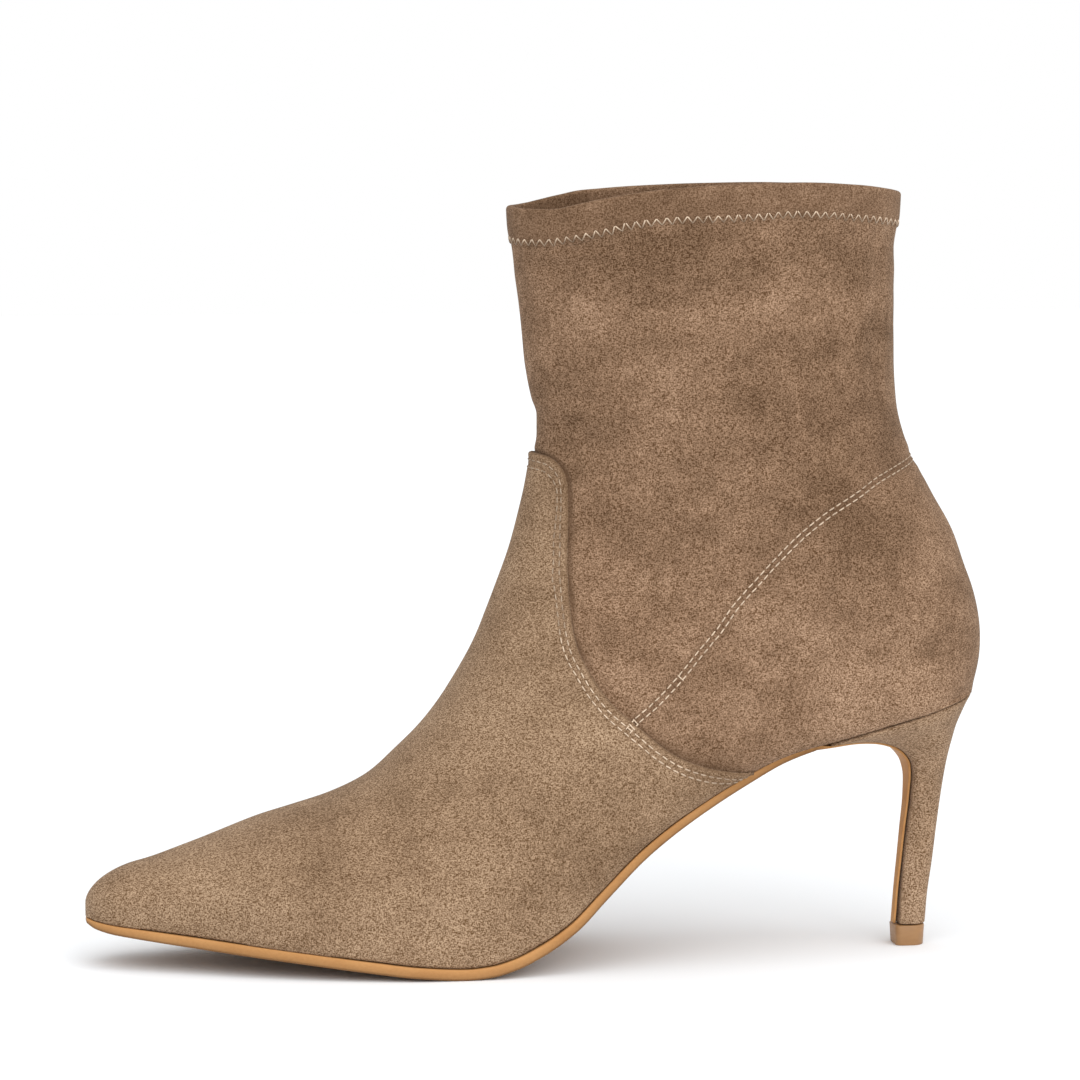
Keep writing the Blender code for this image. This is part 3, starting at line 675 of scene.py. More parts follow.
def tree_of(points):
    """The points as a searchable tree."""
    tree = KDTree(len(points))
    for i, point in enumerate(points):
        tree.insert(point, i)
    tree.balance()
    return tree


def distance_to(line, points):
    """Distance of each point from a finely divided line."""
    tree = tree_of(line)
    return np.array([tree.find(point)[2] for point in points])


def fine_line(points, spacing):
    """A line of 3D points divided evenly."""
    points = np.asarray(points)
    run = np.concatenate([[0], np.cumsum(np.linalg.norm(np.diff(points, axis=0), axis=1))])
    places = np.linspace(0, run[-1], max(2, int(run[-1] / spacing)))
    return np.stack([np.interp(places, run, points[:, i]) for i in range(3)], axis=1)


def ripple(points, size, seed):
    """Smooth seeded waves from -1 to 1 over the given size."""
    shift = Vector((seed * 7.3, seed * 3.1, seed * 5.7))
    return np.array([noise.noise(Vector(point) / size + shift) for point in points])


def points_of(piece):
    """The piece's vertices in one array."""
    at = np.empty(len(piece.data.vertices) * 3)
    piece.data.vertices.foreach_get("co", at)
    return at.reshape(-1, 3)


def marked(piece, name, amount):
    """Stores amount(points) on the piece, for its material."""
    layer = piece.data.attributes.new(name, "FLOAT", "POINT")
    layer.data.foreach_set("value", amount(points_of(piece)))


def tone_with_painted_light(at):
    """Tone painted on the suede at each point: painted shade growing up the leg, with the patches of nap
    tone and painted light and shade.
    """
    # Painted shade: darker the higher up the leg.
    tone = 0.10 - 0.30 * eased(at[:, 2] / BOOT_HEIGHT)
    for row in NAP_AND_PAINTED_LIGHT_PATCHES:
        x, z = at[:, 0] - x_at(row.along), at[:, 2] - BOOT_HEIGHT * row.height
        tone += row.tone * near_line(np.hypot(x, z), BOOT_HEIGHT * row.size)
    return tone


def near_line(distance, width):
    """1 on a line, fading away over its width."""
    return np.exp(-((distance / width) ** 2))


def softened(piece, centre, radius, rounds):
    """Evens out the piece's surface round a point, but not its lasted edge."""
    data = piece.data
    at = points_of(piece)
    count = len(at)
    ends = np.empty(len(data.edges) * 2, dtype=int)
    data.edges.foreach_get("vertices", ends)
    first, second = ends.reshape(-1, 2).T
    near = eased(1.4 - 1.4 * np.linalg.norm(at - centre, axis=1) / radius)
    above = at[:, 2] - sole_height(along_at(at[:, 0]))
    share = 0.5 * (near * eased((above - RAND) / (1.0 * MM)))[:, None]
    degree = np.bincount(first, minlength=count) + np.bincount(second, minlength=count)
    for _ in range(rounds):
        total = np.empty((count, 3))
        for i in range(3):
            total[:, i] = np.bincount(first, at[second, i], count)
            total[:, i] += np.bincount(second, at[first, i], count)
        at = at + share * (total / degree[:, None] - at)
    data.vertices.foreach_set("co", at.ravel())
    data.update()


def walled(piece, thickness, inwards=True):
    """Gives a sheet its thickness."""
    wall = piece.modifiers.new("wall", "SOLIDIFY")
    wall.thickness = thickness
    wall.offset = -1.0 if inwards else 1.0
    return piece


def surface_of(*pieces):
    """The pieces' faces as one searchable surface."""
    points, faces = [], []
    for piece in pieces:
        start = len(points)
        points += [vertex.co.copy() for vertex in piece.data.vertices]
        faces += [[start + i for i in face.vertices] for face in piece.data.polygons]
    return BVHTree.FromPolygons(points, faces)


def cast_side(surface, line, side):
    """Points and normals where a side-view line meets the surface from one side."""
    hits = []
    for x, z in line:
        place, normal, _, _ = surface.ray_cast(Vector((x, side * BALL_WIDTH, z)), Vector((0, -side, 0)))
        if place is not None:
            hits.append((place, normal))
    return hits


def settle(surface, points):
    """Points and normals of the surface nearest to each point."""
    found = [surface.find_nearest(Vector(point)) for point in points]
    return [(place, normal) for place, normal, _, _ in found]


def cast_round(surface, line):
    """Points and normals of a side-view line on both sides, joined round the back."""
    outer, inner = [cast_side(surface, line, side) for side in (1, -1)]
    across = fine_line([outer[-1][0], inner[-1][0]], 0.5 * MM)[1:-1]
    return outer + settle(surface, across) + inner[::-1]


def side_offset(line, distance):
    """A side-view line moved to the left of its run."""
    return line + outward(line) * distance


def fold_relief(points):
    """Depth of the listed troughs at each point."""
    depth = np.zeros(len(points))
    at = points[:, [0, 2]]
    for fold in FOLDS:
        start = np.array((x_at(fold.along), BOOT_HEIGHT * fold.height))
        end = np.array((x_at(fold.to_along), BOOT_HEIGHT * fold.to_height))
        run = end - start
        share = np.clip((at - start) @ run / (run @ run), 0.0, 1.0)
        away = np.linalg.norm(at - start - share[:, None] * run, axis=1) / (fold.width * WALL)
        ends = np.sin(np.pi * np.clip(share * 0.94 + 0.03, 0, 1)) ** 0.5
        trough = near_line(away, 1) - 0.45 * near_line(away - 1.9, 1)
        depth += fold.depth * WALL * trough * ends
    return depth


def stitch_depths(turns):
    """How far the zigzag lies below the collar's edge at each turn."""
    edge_at = upper_points(collar_ways(turns, HEM_RADIUS, 0.0), turns, 0.0)
    return COLLAR_DIP * COLLAR["stitches"](along_at(edge_at[:, 0]))


def shaft_sheet(turns, line_depth):
    """The shaft and counter as one sheet, with the hem turned in at the collar."""
    start = vamp_ways(turns, 0.0) - (0.020 - 0.009 * np.abs(turns))
    hem_foot = collar_ways(turns, HEM_FOOT * MM, 0.0)
    ways, grows = [], []
    for share in np.linspace(0, 1, BODY_ROWS)[:-1]:
        ways.append(start + (hem_foot - start) * share)
        grows.append(np.zeros(turns.shape))
    for depth in np.concatenate([np.linspace(HEM_FOOT, 2.0, 27) * MM, [HEM_RADIUS]]):
        ways.append(collar_ways(turns, depth, 0.0))
        grows.append(HEM_STEP * eased((line_depth + 1.4 * MM - depth) / (0.9 * MM)))
    points = [upper_points(way, turns, grow) for way, grow in zip(ways, grows)]
    top = ways[-1]
    for angle in np.linspace(0, math.pi, 9)[1:]:
        rim = upper_points(top, turns, HEM_MIDDLE + HEM_RADIUS * math.cos(angle))
        rim[:, 2] += HEM_RADIUS * math.sin(angle)
        points.append(rim)
        ways.append(top)
    for depth in np.linspace(HEM_RADIUS, HEM_TURN_IN, 9)[1:]:
        ways.append(collar_ways(turns, depth, 0.0))
        points.append(upper_points(ways[-1], turns, -HEM_INSIDE))
    grid = with_turned_edge(np.array(points), np.array(ways)[:, 0], 0.0)
    return cloth_grid("shaft", grid)


def make_shaft(turns):
    """The shaft and counter in one, with their folds, seam and hem."""
    line_depth = stitch_depths(turns)
    shaft = shaft_sheet(turns, line_depth)
    softened(shaft, np.array((x_at(SEAT_END), 0, HEEL_HEIGHT + 4 * MM)), SEAT_SOFT, SEAT_ROUNDS)
    surface = surface_of(shaft)
    seam = [place for place, _ in cast_round(surface, seam_curve(COUNTER_SEAM, 500))]
    vamp_edge = fine_line(upper_points(vamp_ways(turns, VAMP_STEP), turns, 0.0), 0.3 * MM)
    stitch_ways = collar_ways(turns, line_depth, 0.0)
    hem_line = fine_line(upper_points(stitch_ways, turns, HEM_STEP), 0.4 * MM)

    def relief(at):
        below = collar_height(at) - at[:, 2]
        calm = eased((below - 2.0 * MM) / (8.0 * MM))
        soft = 0.34 * MM * ripple(at, 26 * MM, 1) + 0.12 * MM * ripple(at, 9 * MM, 2)
        height = soft * (0.25 + 0.75 * calm)
        height -= fold_relief(at) * calm
        to_hem = distance_to(hem_line, at)
        height -= 0.16 * MM * near_line(to_hem, 1.1 * MM)
        pucker = near_line(below - 11 * MM, 4.0 * MM)
        waves = ripple(at * np.array((1, 1, 0.25)), 3.2 * MM, 3)
        height += 0.26 * MM * pucker * waves
        to_seam = distance_to(seam, at)
        height -= 0.30 * MM * near_line(to_seam, 1.7 * MM)
        beside = near_line(to_seam - 3.2 * MM, 1.6 * MM)
        height += 0.10 * MM * beside * (1 + ripple(at, 3.5 * MM, 4))
        height -= 0.45 * MM * near_line(distance_to(vamp_edge, at), 0.9 * MM)
        at_back = eased((along_at(at[:, 0]) - 0.78) / 0.10)
        height -= 0.9 * MM * near_line(below - 16 * MM, 5.5 * MM) * at_back
        return height

    # Painted shade: darker along the vamp's edge, the counter's seam, the hem's stitch line and the band
    # below the collar.
    def seam_shade_amount(at):
        below = collar_height(at) - at[:, 2]
        amount = 0.30 * eased((9.5 * MM - below) / (2.0 * MM))
        amount += 0.35 * near_line(distance_to(hem_line, at), 1.1 * MM)
        amount += 1.0 * near_line(distance_to(vamp_edge, at), 0.65 * MM)
        amount += 0.50 * near_line(distance_to(seam, at), 1.3 * MM)
        return np.clip(amount, 0.0, 1.0)

    reshaped(shaft, relief)
    marked(shaft, "pressed", seam_shade_amount)
    # Tone with painted light and shade, stored for the material.
    marked(shaft, "brushed", tone_with_painted_light)
    return shaft, stitch_ways


def vamp_edge_of(turns):
    """Ways and points of the vamp's edge, and how fast the way leaves it."""
    edge = vamp_ways(turns, VAMP_STEP)
    at_edge = upper_points(edge, turns, VAMP_STEP)
    step = 0.002
    along_way = (at_edge - upper_points(edge - step, turns, VAMP_STEP)) / step
    run = np.gradient(at_edge, axis=0)
    run /= np.linalg.norm(run, axis=1)[:, None]
    return edge, at_edge, np.linalg.norm(np.cross(along_way, run), axis=1)


def vamp_sheet(turns, edge, rate):
    """The vamp as one sheet, with finer rows at the toe and at its edge."""
    ways = []
    for i in range(TOE_ROWS):
        turned = TOE_END * (1 - math.cos(i * math.pi / 2 / TOE_ROWS))
        ways.append(np.full(turns.shape, turned))
    inner = edge - 7.0 * MM / rate
    for share in np.linspace(0, 1, VAMP_ROWS):
        ways.append(TOE_END + (inner - TOE_END) * share)
    near = (6.2, 5.4, 4.8, 4.2, 3.7, 3.2, 2.7, 2.2, 1.7, 1.3, 0.95, 0.65, 0.42, 0.24, 0.1, 0.0)
    for distance in near:
        ways.append(edge - distance * MM / rate)
    ways = np.array(ways)
    points = upper_points(ways, turns, VAMP_STEP)
    return cloth_grid("vamp", with_turned_edge(points, ways[:, 0], 0.05 * MM))


def make_vamp(turns):
    """The vamp, lapped over the shaft with a rounded cut edge."""
    edge, at_edge, rate = vamp_edge_of(turns)
    vamp = vamp_sheet(turns, edge, rate)
    rim = fine_line(at_edge, 0.15 * MM)

    def relief(at):
        to_rim = distance_to(rim, at)
        roll = 1 - np.sqrt(1 - np.clip(1 - to_rim / VAMP_ROLL, 0, 1) ** 2)
        height = -(VAMP_STEP + 0.1 * MM) * roll
        height += 0.30 * MM * ripple(at, 30 * MM, 5) * eased(to_rim / (12 * MM))
        height += 0.10 * MM * ripple(at, 9 * MM, 6) * eased(to_rim / (6 * MM))
        for row in VAMP_STITCHES:
            height -= 0.12 * MM * near_line(to_rim - row, 0.7 * MM)
        corner = near_line(at[:, 1], 9 * MM) * near_line(to_rim, 2.6 * MM)
        on_top = at[:, 2] > BOOT_HEIGHT * 0.55
        height += VAMP_CURL * corner * on_top
        return height

    # Painted shade along the vamp's rounded edge and its two stitch rows.
    def seam_shade_amount(at):
        to_rim = distance_to(rim, at)
        amount = near_line(to_rim, 0.55 * MM)
        for row in VAMP_STITCHES:
            amount += 0.35 * near_line(to_rim - row, 0.5 * MM)
        return np.clip(amount, 0.0, 1.0)

    reshaped(vamp, relief)
    marked(vamp, "pressed", seam_shade_amount)
    # Tone with painted light and shade, stored for the material.
    marked(vamp, "brushed", tone_with_painted_light)
    return vamp, edge, rate


def make_lining(turns):
    """The thin lining inside the upper, up to the turned-in hem."""
    top = collar_ways(turns, 7.0 * MM, 0.0)
    ways = [np.full(turns.shape, TOE_END * i / 4) for i in range(4)]
    for share in np.linspace(0, 1, 90):
        ways.append(TOE_END + (top - TOE_END) * share)
    points = upper_points(np.array(ways), turns, -LINING_FACE)
    return cloth_grid("lining", points)


def tip_ends():
    """Front and back of the heel just above its tip."""
    middle, half = x_at(HEEL_TIP_AT), TIP_LENGTH / 2
    return middle + half - TIP_LEDGE, middle - half + TIP_OVERHANG


def heel_line(breast):
    """Side-view points of the breast, or of the back, from the tip up to the seat."""
    front, back = tip_ends()
    seat_back = x_at(SEAT_END)
    tip, seat = (front, seat_back + SEAT_LENGTH) if breast else (back, seat_back)
    points = []
    for row in HEEL_SECTIONS:
        share = row.breast if breast else row.back
        height = row.breast_height if breast else row.back_height
        x = tip + (seat - tip) * share
        points.append((x, height * (sole_height(along_at(x)) - GAP)))
    points[0] = (points[0][0], TIP_HEIGHT + GAP)
    return points


def heel_rows(steps):
    """Breast point, back point, half width and half face of each section, in columns."""
    breast = np.array(heel_line(True))
    breast = breast - outward(breast) * BREAST_COVER
    rows = []
    for i, (row, front, back) in enumerate(zip(HEEL_SECTIONS, breast, heel_line(False))):
        rows.append((i, *front, *back, row.width * SEAT_WIDTH / 2, row.face * SEAT_WIDTH / 2))
    curves = columns(table("place front front_z back back_z half face", rows), "place")
    places = np.linspace(0, len(rows) - 1, (len(rows) - 1) * steps + 1)
    return np.stack([curve(places) for curve in curves.values()], axis=1)


def closed_rings(name, rings):
    """A closed body through rings of points, with its two ends filled."""
    mesh = bmesh.new()
    layers = [[mesh.verts.new(point) for point in ring] for ring in rings]
    for first, second in zip(layers, layers[1:]):
        for i in range(len(first)):
            j = (i + 1) % len(first)
            mesh.faces.new((first[i], first[j], second[j], second[i]))
    mesh.faces.new(layers[0])
    mesh.faces.new(layers[-1])
    bmesh.ops.remove_doubles(mesh, verts=mesh.verts, dist=0.002 * MM)
    bmesh.ops.dissolve_degenerate(mesh, edges=mesh.edges, dist=0.001 * MM)
    bmesh.ops.recalc_face_normals(mesh, faces=mesh.faces)
    return mesh_object(name, mesh)


def heel_section(front, back, half, face, steps):
    """A flat breast, sides that swell and a round back, seen from above."""
    turn = np.linspace(0, math.pi / 2, steps + 1)
    face_run = np.linspace(0, face, 5)[1:-1]
    first = [(0.0, v) for v in face_run]
    side = list(zip(SEAT_SWELL * (1 - np.cos(turn)), face + (half - face) * np.sin(turn)))
    turn = np.linspace(0, math.pi / 2, 2 * steps + 1)[1:-1]
    back_run = list(zip(SEAT_SWELL + (1 - SEAT_SWELL) * np.sin(turn), half * np.cos(turn)))
    outer = first + side + back_run
    ring = [(0.0, 0.0)] + outer + [(1.0, 0.0)] + [(u, -v) for u, v in reversed(outer)]
    return [(*(front + (back - front) * u), v) for u, v in ring]


def make_heel():
    """The covered heel, with its cover turned in under the seat and above the tip."""
    rings = []
    rows = heel_rows(8)
    tuck = [(0.30, 0.0), (0.10, 0.12), (0.0, 0.36)]
    for inset, rise in tuck:
        rings.append((rows[0] + np.array((-inset, rise, inset, rise, -inset, -inset)) * MM))
    rings += list(rows[1:])
    solid = []
    for fx, fz, bx, bz, half, face in rings:
        section = heel_section(np.array((fx, fz)), np.array((bx, bz)), half, face, 12)
        solid.append(np.array([(x, v, z) for x, z, v in section]))
    centre = solid[-1].mean(axis=0)
    for rise in (0.4, 0.8, 2.5):
        ring = solid[-1] + np.array((0, 0, rise * MM))
        solid.append(ring)
    top = []
    for ring in solid:
        seat = sole_height(along_at(ring[:, 0])) - GAP
        below = seat - ring[:, 2]
        inward = (ring - centre) * np.array((1, 1, 0))
        inward /= np.maximum(np.linalg.norm(inward, axis=1), 1e-6)[:, None]
        roll = 0.5 * MM * (1 - np.sqrt(1 - np.clip(1 - below / (0.5 * MM), 0, 1) ** 2))
        moved = ring - inward * roll[:, None]
        moved[:, 2] = np.minimum(moved[:, 2], seat)
        top.append(moved)
    heel = closed_rings("heel_cover", top)

    def relief(at):
        return 0.14 * MM * ripple(at, 14 * MM, 8) * eased((at[:, 2] - TIP_HEIGHT) / (8 * MM))

    return reshaped(heel, relief)


def outsole_rows():
    """Side-view point, middle, half width, thickness and gap along the outsole's glued face."""
    start = GAP / SHOE_LENGTH
    toe = start + TOE_RADIUS / SHOE_LENGTH * (1 - np.cos(np.linspace(0.08, 1.5, 18)))
    waist_end = along_at(x_at(SEAT_END) + SEAT_LENGTH) - 4 * MM / SHOE_LENGTH
    rows = []
    for along in [*toe, *np.linspace(0.0405, waist_end, 150)]:
        centre, half = sole_sides(along)
        half = half * WAIST["width"](along) + SOLE_EDGE
        gauge = SOLE_THICKNESS * WAIST["gauge"](along)
        rows.append((x_at(along), sole_height(along) - GAP, centre, half, gauge, 0.0))
    breast = heel_rows(5)[::-1]
    for i, (fx, fz, _, _, _, face) in enumerate(breast):
        loose = 0.25 + 2.4 * (i / len(breast)) ** 2
        rows.append((fx, fz, 0.0, face - FLAP_MARGIN, FLAP_THICKNESS, loose))
    return np.array(rows)


def edge_profile(half, gauge):
    """Half a cross-section of the outsole: place across, depth and how much it is edge."""
    top, foot = min(0.25 * MM, gauge / 4), min(0.85 * MM, gauge / 2)
    steps = []
    for turn in np.linspace(0, math.pi / 2, 4):
        steps.append((half - top + top * math.sin(turn), top - top * math.cos(turn), 1.0))
    for turn in np.linspace(0, math.pi / 2, 7):
        edge = max(0.0, 0.45 - turn)
        place = half - foot + foot * math.cos(turn)
        steps.append((place, gauge - foot + foot * math.sin(turn), edge))
    for share in (0.75, 0.4):
        steps.append(((half - foot) * share, gauge, 0.0))
    return steps


def make_outsole():
    """The leather outsole from the toe to the waist and down the breast of the heel."""
    rows = outsole_rows()
    line = rows[:, :2].copy()
    normal = outward(line)
    line += normal * GAP * rows[:, 5:]
    rings, edges = [], []
    for (x, z), (nx, nz), (_, _, centre, half, gauge, loose) in zip(line, normal, rows):
        half_ring = edge_profile(half, gauge)
        ring = half_ring + [(-v, d, e) for v, d, e in reversed(half_ring)]
        rings.append([(x + nx * d, centre + v, max(z + nz * d, 0.0)) for v, d, _ in ring])
        edges += [1.0 if loose else edge for _, _, edge in ring]
    outsole = closed_rings("outsole_leather", rings)
    mark_edge(outsole, np.array(rings).reshape(-1, 3), edges)
    return outsole


def mark_edge(piece, points, values):
    """Stores how much of each point is the trimmed edge, for the material."""
    tree = tree_of(points)
    marked(piece, "trimmed", lambda at: [values[tree.find(point)[1]] for point in at])


def make_top_lift():
    """The hard tip under the heel, straight in front and round behind."""
    middle, half = x_at(HEEL_TIP_AT), TIP_WIDTH / 2
    front, back = TIP_LENGTH / 2, TIP_LENGTH / 2 - half * 0.8
    corner = np.linspace(0, math.pi / 2, 5)
    outline = []
    for turn in corner:
        x = front - TIP_CORNER * (1 - math.cos(turn))
        outline.append((x, half - TIP_CORNER * (1 - math.sin(turn))))
    for turn in np.linspace(0, math.pi, 33):
        outline.append((-back - half * 0.8 * math.sin(turn), half * math.cos(turn)))
    for turn in corner[::-1]:
        x = front - TIP_CORNER * (1 - math.cos(turn))
        outline.append((x, TIP_CORNER * (1 - math.sin(turn)) - half))
    rings = []
    levels = ((0.0, 0.93), (0.03, 0.965), (0.10, 0.985), (0.25, 1.0))
    for depth, size in levels:
        rings.append((depth * MM * 1.4, size * (1 - TIP_TAPER / half)))
    for depth, size in levels[::-1]:
        rings.append((TIP_HEIGHT - depth * MM * 1.4, size))
    solid = []
    for z, size in rings:
        solid.append([(middle + x * size, y * size, z) for x, y in outline])
    return closed_rings("top_lift_tip", solid)


def make_sock():
    """The padded sock on the insole, rounded at its edge."""
    start = 2 * (WALL + INSOLE_GAP) / SHOE_LENGTH
    end = SEAT_END - start
    bottom = LASTING_THICKNESS + GAP
    top = bottom + INSOLE_THICKNESS
    rings = []
    ends = 1 - np.cos(np.linspace(0.1, math.pi / 2, 12))
    toe = start + TOE_RADIUS / SHOE_LENGTH * ends
    seat = end - SEAT_RADIUS / SHOE_LENGTH * ends[::-1]
    for along in [*toe, *np.linspace(toe[-1], seat[0], 120)[1:-1], *seat]:
        centre, half = sole_sides(along)
        narrow = rounded_end((along - start) * SHOE_LENGTH, TOE_RADIUS / 2)
        narrow *= rounded_end((end - along) * SHOE_LENGTH, SEAT_RADIUS / 2)
        half = (half - WALL - INSOLE_GAP - VAMP_STEP) * narrow
        x, z = x_at(along), sole_height(along)
        ring = [(x, centre + half, z + bottom), (x, centre + half, z + top - 0.9 * MM)]
        for turn in np.linspace(0.3, math.pi / 2, 4):
            soft = min(0.9 * MM, half)
            across = half - soft * (1 - math.cos(turn))
            ring.append((x, centre + across, z + top - 0.9 * MM * (1 - math.sin(turn))))
        ring.append((x, centre + half * 0.5, z + top - 0.1 * MM))
        mirrored = [(x, 2 * centre - y, height) for _, y, height in reversed(ring)]
        rings.append(ring + [(x, centre, z + top - 0.2 * MM)] + mirrored)
    return closed_rings("sock", rings)


# Nodes


def new_node(tree, kind, inputs=None, **settings):
    """A node with its settings, and its inputs set or linked."""
    node = tree.nodes.new(kind)
    for name, value in settings.items():
        setattr(node, name, value)
    for socket, value in (inputs or {}).items():
        if isinstance(value, bpy.types.NodeSocket):
            tree.links.new(value, node.inputs[socket])
        else:
            node.inputs[socket].default_value = value
    return node


def computed(tree, operation, *values):
    """One step of arithmetic on values or sockets."""
    return new_node(tree, "ShaderNodeMath", dict(enumerate(values)), operation=operation).outputs[0]


# Stitches


def stitch_body(name, length, droop):
    """One stitch: a thread that rises from the cloth, lies on it and dips in again."""
    rings = []
    for share in np.linspace(-0.5, 0.5, 9):
        bulge = math.sqrt(max(1 - (2 * share) ** 6, 0.05))
        x = share * length
        z = THREAD * 0.55 - droop * abs(2 * share) ** 3
        ring = []
        for i in range(6):
            turn = math.pi / 3 * i
            radius = THREAD * bulge
            ring.append((x, radius * math.cos(turn), z + radius * 0.8 * math.sin(turn)))
        rings.append(ring)
    return closed_rings(name, rings)


def stitch_tree():
    """Geometry nodes that sew stitches along a line, square to its outward direction."""
    tree = bpy.data.node_groups.new("sewn row", "GeometryNodeTree")
    kinds = {"Line": "Geometry", "Pitch": "Float", "Swing": "Float", "Wander": "Float",
             "Seed": "Int", "Stitch": "Object", "Thread": "Material"}
    for label, kind in kinds.items():
        tree.interface.new_socket(label, in_out="INPUT", socket_type="NodeSocket" + kind)
    tree.interface.new_socket("Sewn", in_out="OUTPUT", socket_type="NodeSocketGeometry")
    given = tree.nodes.new("NodeGroupInput").outputs
    curve = new_node(tree, "GeometryNodeMeshToCurve", {"Mesh": given["Line"]})
    spacing = {"Curve": curve.outputs["Curve"], "Length": given["Pitch"]}
    even = new_node(tree, "GeometryNodeResampleCurve", spacing, mode="LENGTH")

    tangent = new_node(tree, "GeometryNodeInputTangent").outputs["Tangent"]
    out = new_node(tree, "GeometryNodeInputNamedAttribute", {"Name": "out"}, data_type="FLOAT_VECTOR")
    along = new_node(tree, "FunctionNodeAlignRotationToVector", {"Vector": tangent}, axis="X")
    facing = {"Rotation": along.outputs["Rotation"], "Vector": out.outputs["Attribute"]}
    upright = new_node(tree, "FunctionNodeAlignRotationToVector", facing, axis="Z", pivot_axis="X")

    index = new_node(tree, "GeometryNodeInputIndex").outputs["Index"]
    to_side = computed(tree, "MULTIPLY_ADD", computed(tree, "MODULO", index, 2.0), 2.0, -1.0)
    swung = computed(tree, "MULTIPLY", to_side, given["Swing"])
    spread = {2: -1.0, 3: 1.0, "Seed": given["Seed"]}
    stray = new_node(tree, "FunctionNodeRandomValue", spread, data_type="FLOAT")
    angle = computed(tree, "MULTIPLY_ADD", stray.outputs[1], given["Wander"], swung)
    spin = new_node(tree, "FunctionNodeAxisAngleToRotation", {"Axis": (0, 0, 1), "Angle": angle})
    turns = {"Rotation": upright.outputs["Rotation"], "Rotate By": spin.outputs["Rotation"]}
    turned = new_node(tree, "FunctionNodeRotateRotation", turns, rotation_space="LOCAL")

    stitch = new_node(tree, "GeometryNodeObjectInfo", {"Object": given["Stitch"]})
    places = {"Points": even.outputs["Curve"], "Instance": stitch.outputs["Geometry"],
              "Rotation": turned.outputs["Rotation"]}
    row = new_node(tree, "GeometryNodeInstanceOnPoints", places)
    real = new_node(tree, "GeometryNodeRealizeInstances", {"Geometry": row.outputs["Instances"]})
    thread = {"Geometry": real.outputs["Geometry"], "Material": given["Thread"]}
    finish = new_node(tree, "GeometryNodeSetMaterial", thread)
    new_node(tree, "NodeGroupOutput", {"Sewn": finish.outputs["Geometry"]})
    return tree


def sewing_line(name, runs):
    """Lines of places with their outward directions, as edges of one mesh."""
    points, edges, outs = [], [], []
    for run in runs:
        start = len(points)
        points += [place for place, _ in run]
        outs += [normal for _, normal in run]
        edges += [(start + i, start + i + 1) for i in range(len(run) - 1)]
    data = bpy.data.meshes.new(name)
    data.from_pydata(points, edges, [])
    layer = data.attributes.new("out", "FLOAT_VECTOR", "POINT")
    layer.data.foreach_set("vector", np.array(outs).ravel())
    line = bpy.data.objects.new(name, data)
    bpy.context.scene.collection.objects.link(line)
    return line


def sewn(seam, runs, tree, thread):
    """A seam's stitches along the runs, as one plain mesh."""
    line = sewing_line(seam.name, runs)
    stitch = stitch_body("stitch", seam.length, seam.droop)
    row = line.modifiers.new("sewn row", "NODES")
    row.node_group = tree
    given = {"Pitch": seam.pitch, "Swing": seam.swing, "Wander": seam.wander,
             "Seed": seam.seed, "Stitch": stitch, "Thread": thread}
    for socket in tree.interface.items_tree:
        if socket.in_out == "INPUT" and socket.name in given:
            row[socket.identifier] = given[socket.name]
    bpy.context.view_layer.update()
    graph = bpy.context.evaluated_depsgraph_get()
    data = bpy.data.meshes.new_from_object(line.evaluated_get(graph), depsgraph=graph)
    data.name = seam.name
    for scratch in (line, stitch):
        bpy.data.objects.remove(scratch)
    piece = bpy.data.objects.new(seam.name, data)
    bpy.context.scene.collection.objects.link(piece)
    data.shade_smooth()
    return piece


# Finishes


def new_group(name, tones, amounts):
    """A shader group with its named sockets, and its two end nodes."""
    group = bpy.data.node_groups.new(name, "ShaderNodeTree")
    given = [(label, "Color") for label in tones] + [(label, "Float") for label in amounts]
    for label, kind in given:
        group.interface.new_socket(label, in_out="INPUT", socket_type="NodeSocket" + kind)
    for label, kind in (("Color", "Color"), ("Height", "Float"), ("Roughness", "Float")):
        group.interface.new_socket(label, in_out="OUTPUT", socket_type="NodeSocket" + kind)
    return group, group.nodes.new("NodeGroupInput"), group.nodes.new("NodeGroupOutput")


def stretched_noise(tree, where, size, stretch, detail, rough):
    """Noise of a given grain size, stretched along the three directions."""
    scale = [1 / (size * s) for s in stretch]
    place = new_node(tree, "ShaderNodeMapping", {"Vector": where, "Scale": scale})
    grain = {"Vector": place.outputs["Vector"], "Scale": 1.0, "Detail": detail, "Roughness": rough}
    return new_node(tree, "ShaderNodeTexNoise", grain).outputs["Fac"]


def ranged(tree, value, low, high, to_low=0.0, to_high=1.0):
    """A value brought from one range to another."""
    given = {"Value": value, "From Min": low, "From Max": high, "To Min": to_low, "To Max": to_high}
    return new_node(tree, "ShaderNodeMapRange", given).outputs["Result"]


def opaque(tone):
    """A tone with its alpha, or a socket or amount as it is."""
    return (*tone, 1.0) if isinstance(tone, tuple) else tone


def blended(tree, share, first, second, kind="MIX"):
    """Two colours mixed by a share."""
    given = {0: share, 6: opaque(first), 7: opaque(second)}
    return new_node(tree, "ShaderNodeMix", given, data_type="RGBA", blend_type=kind).outputs[2]


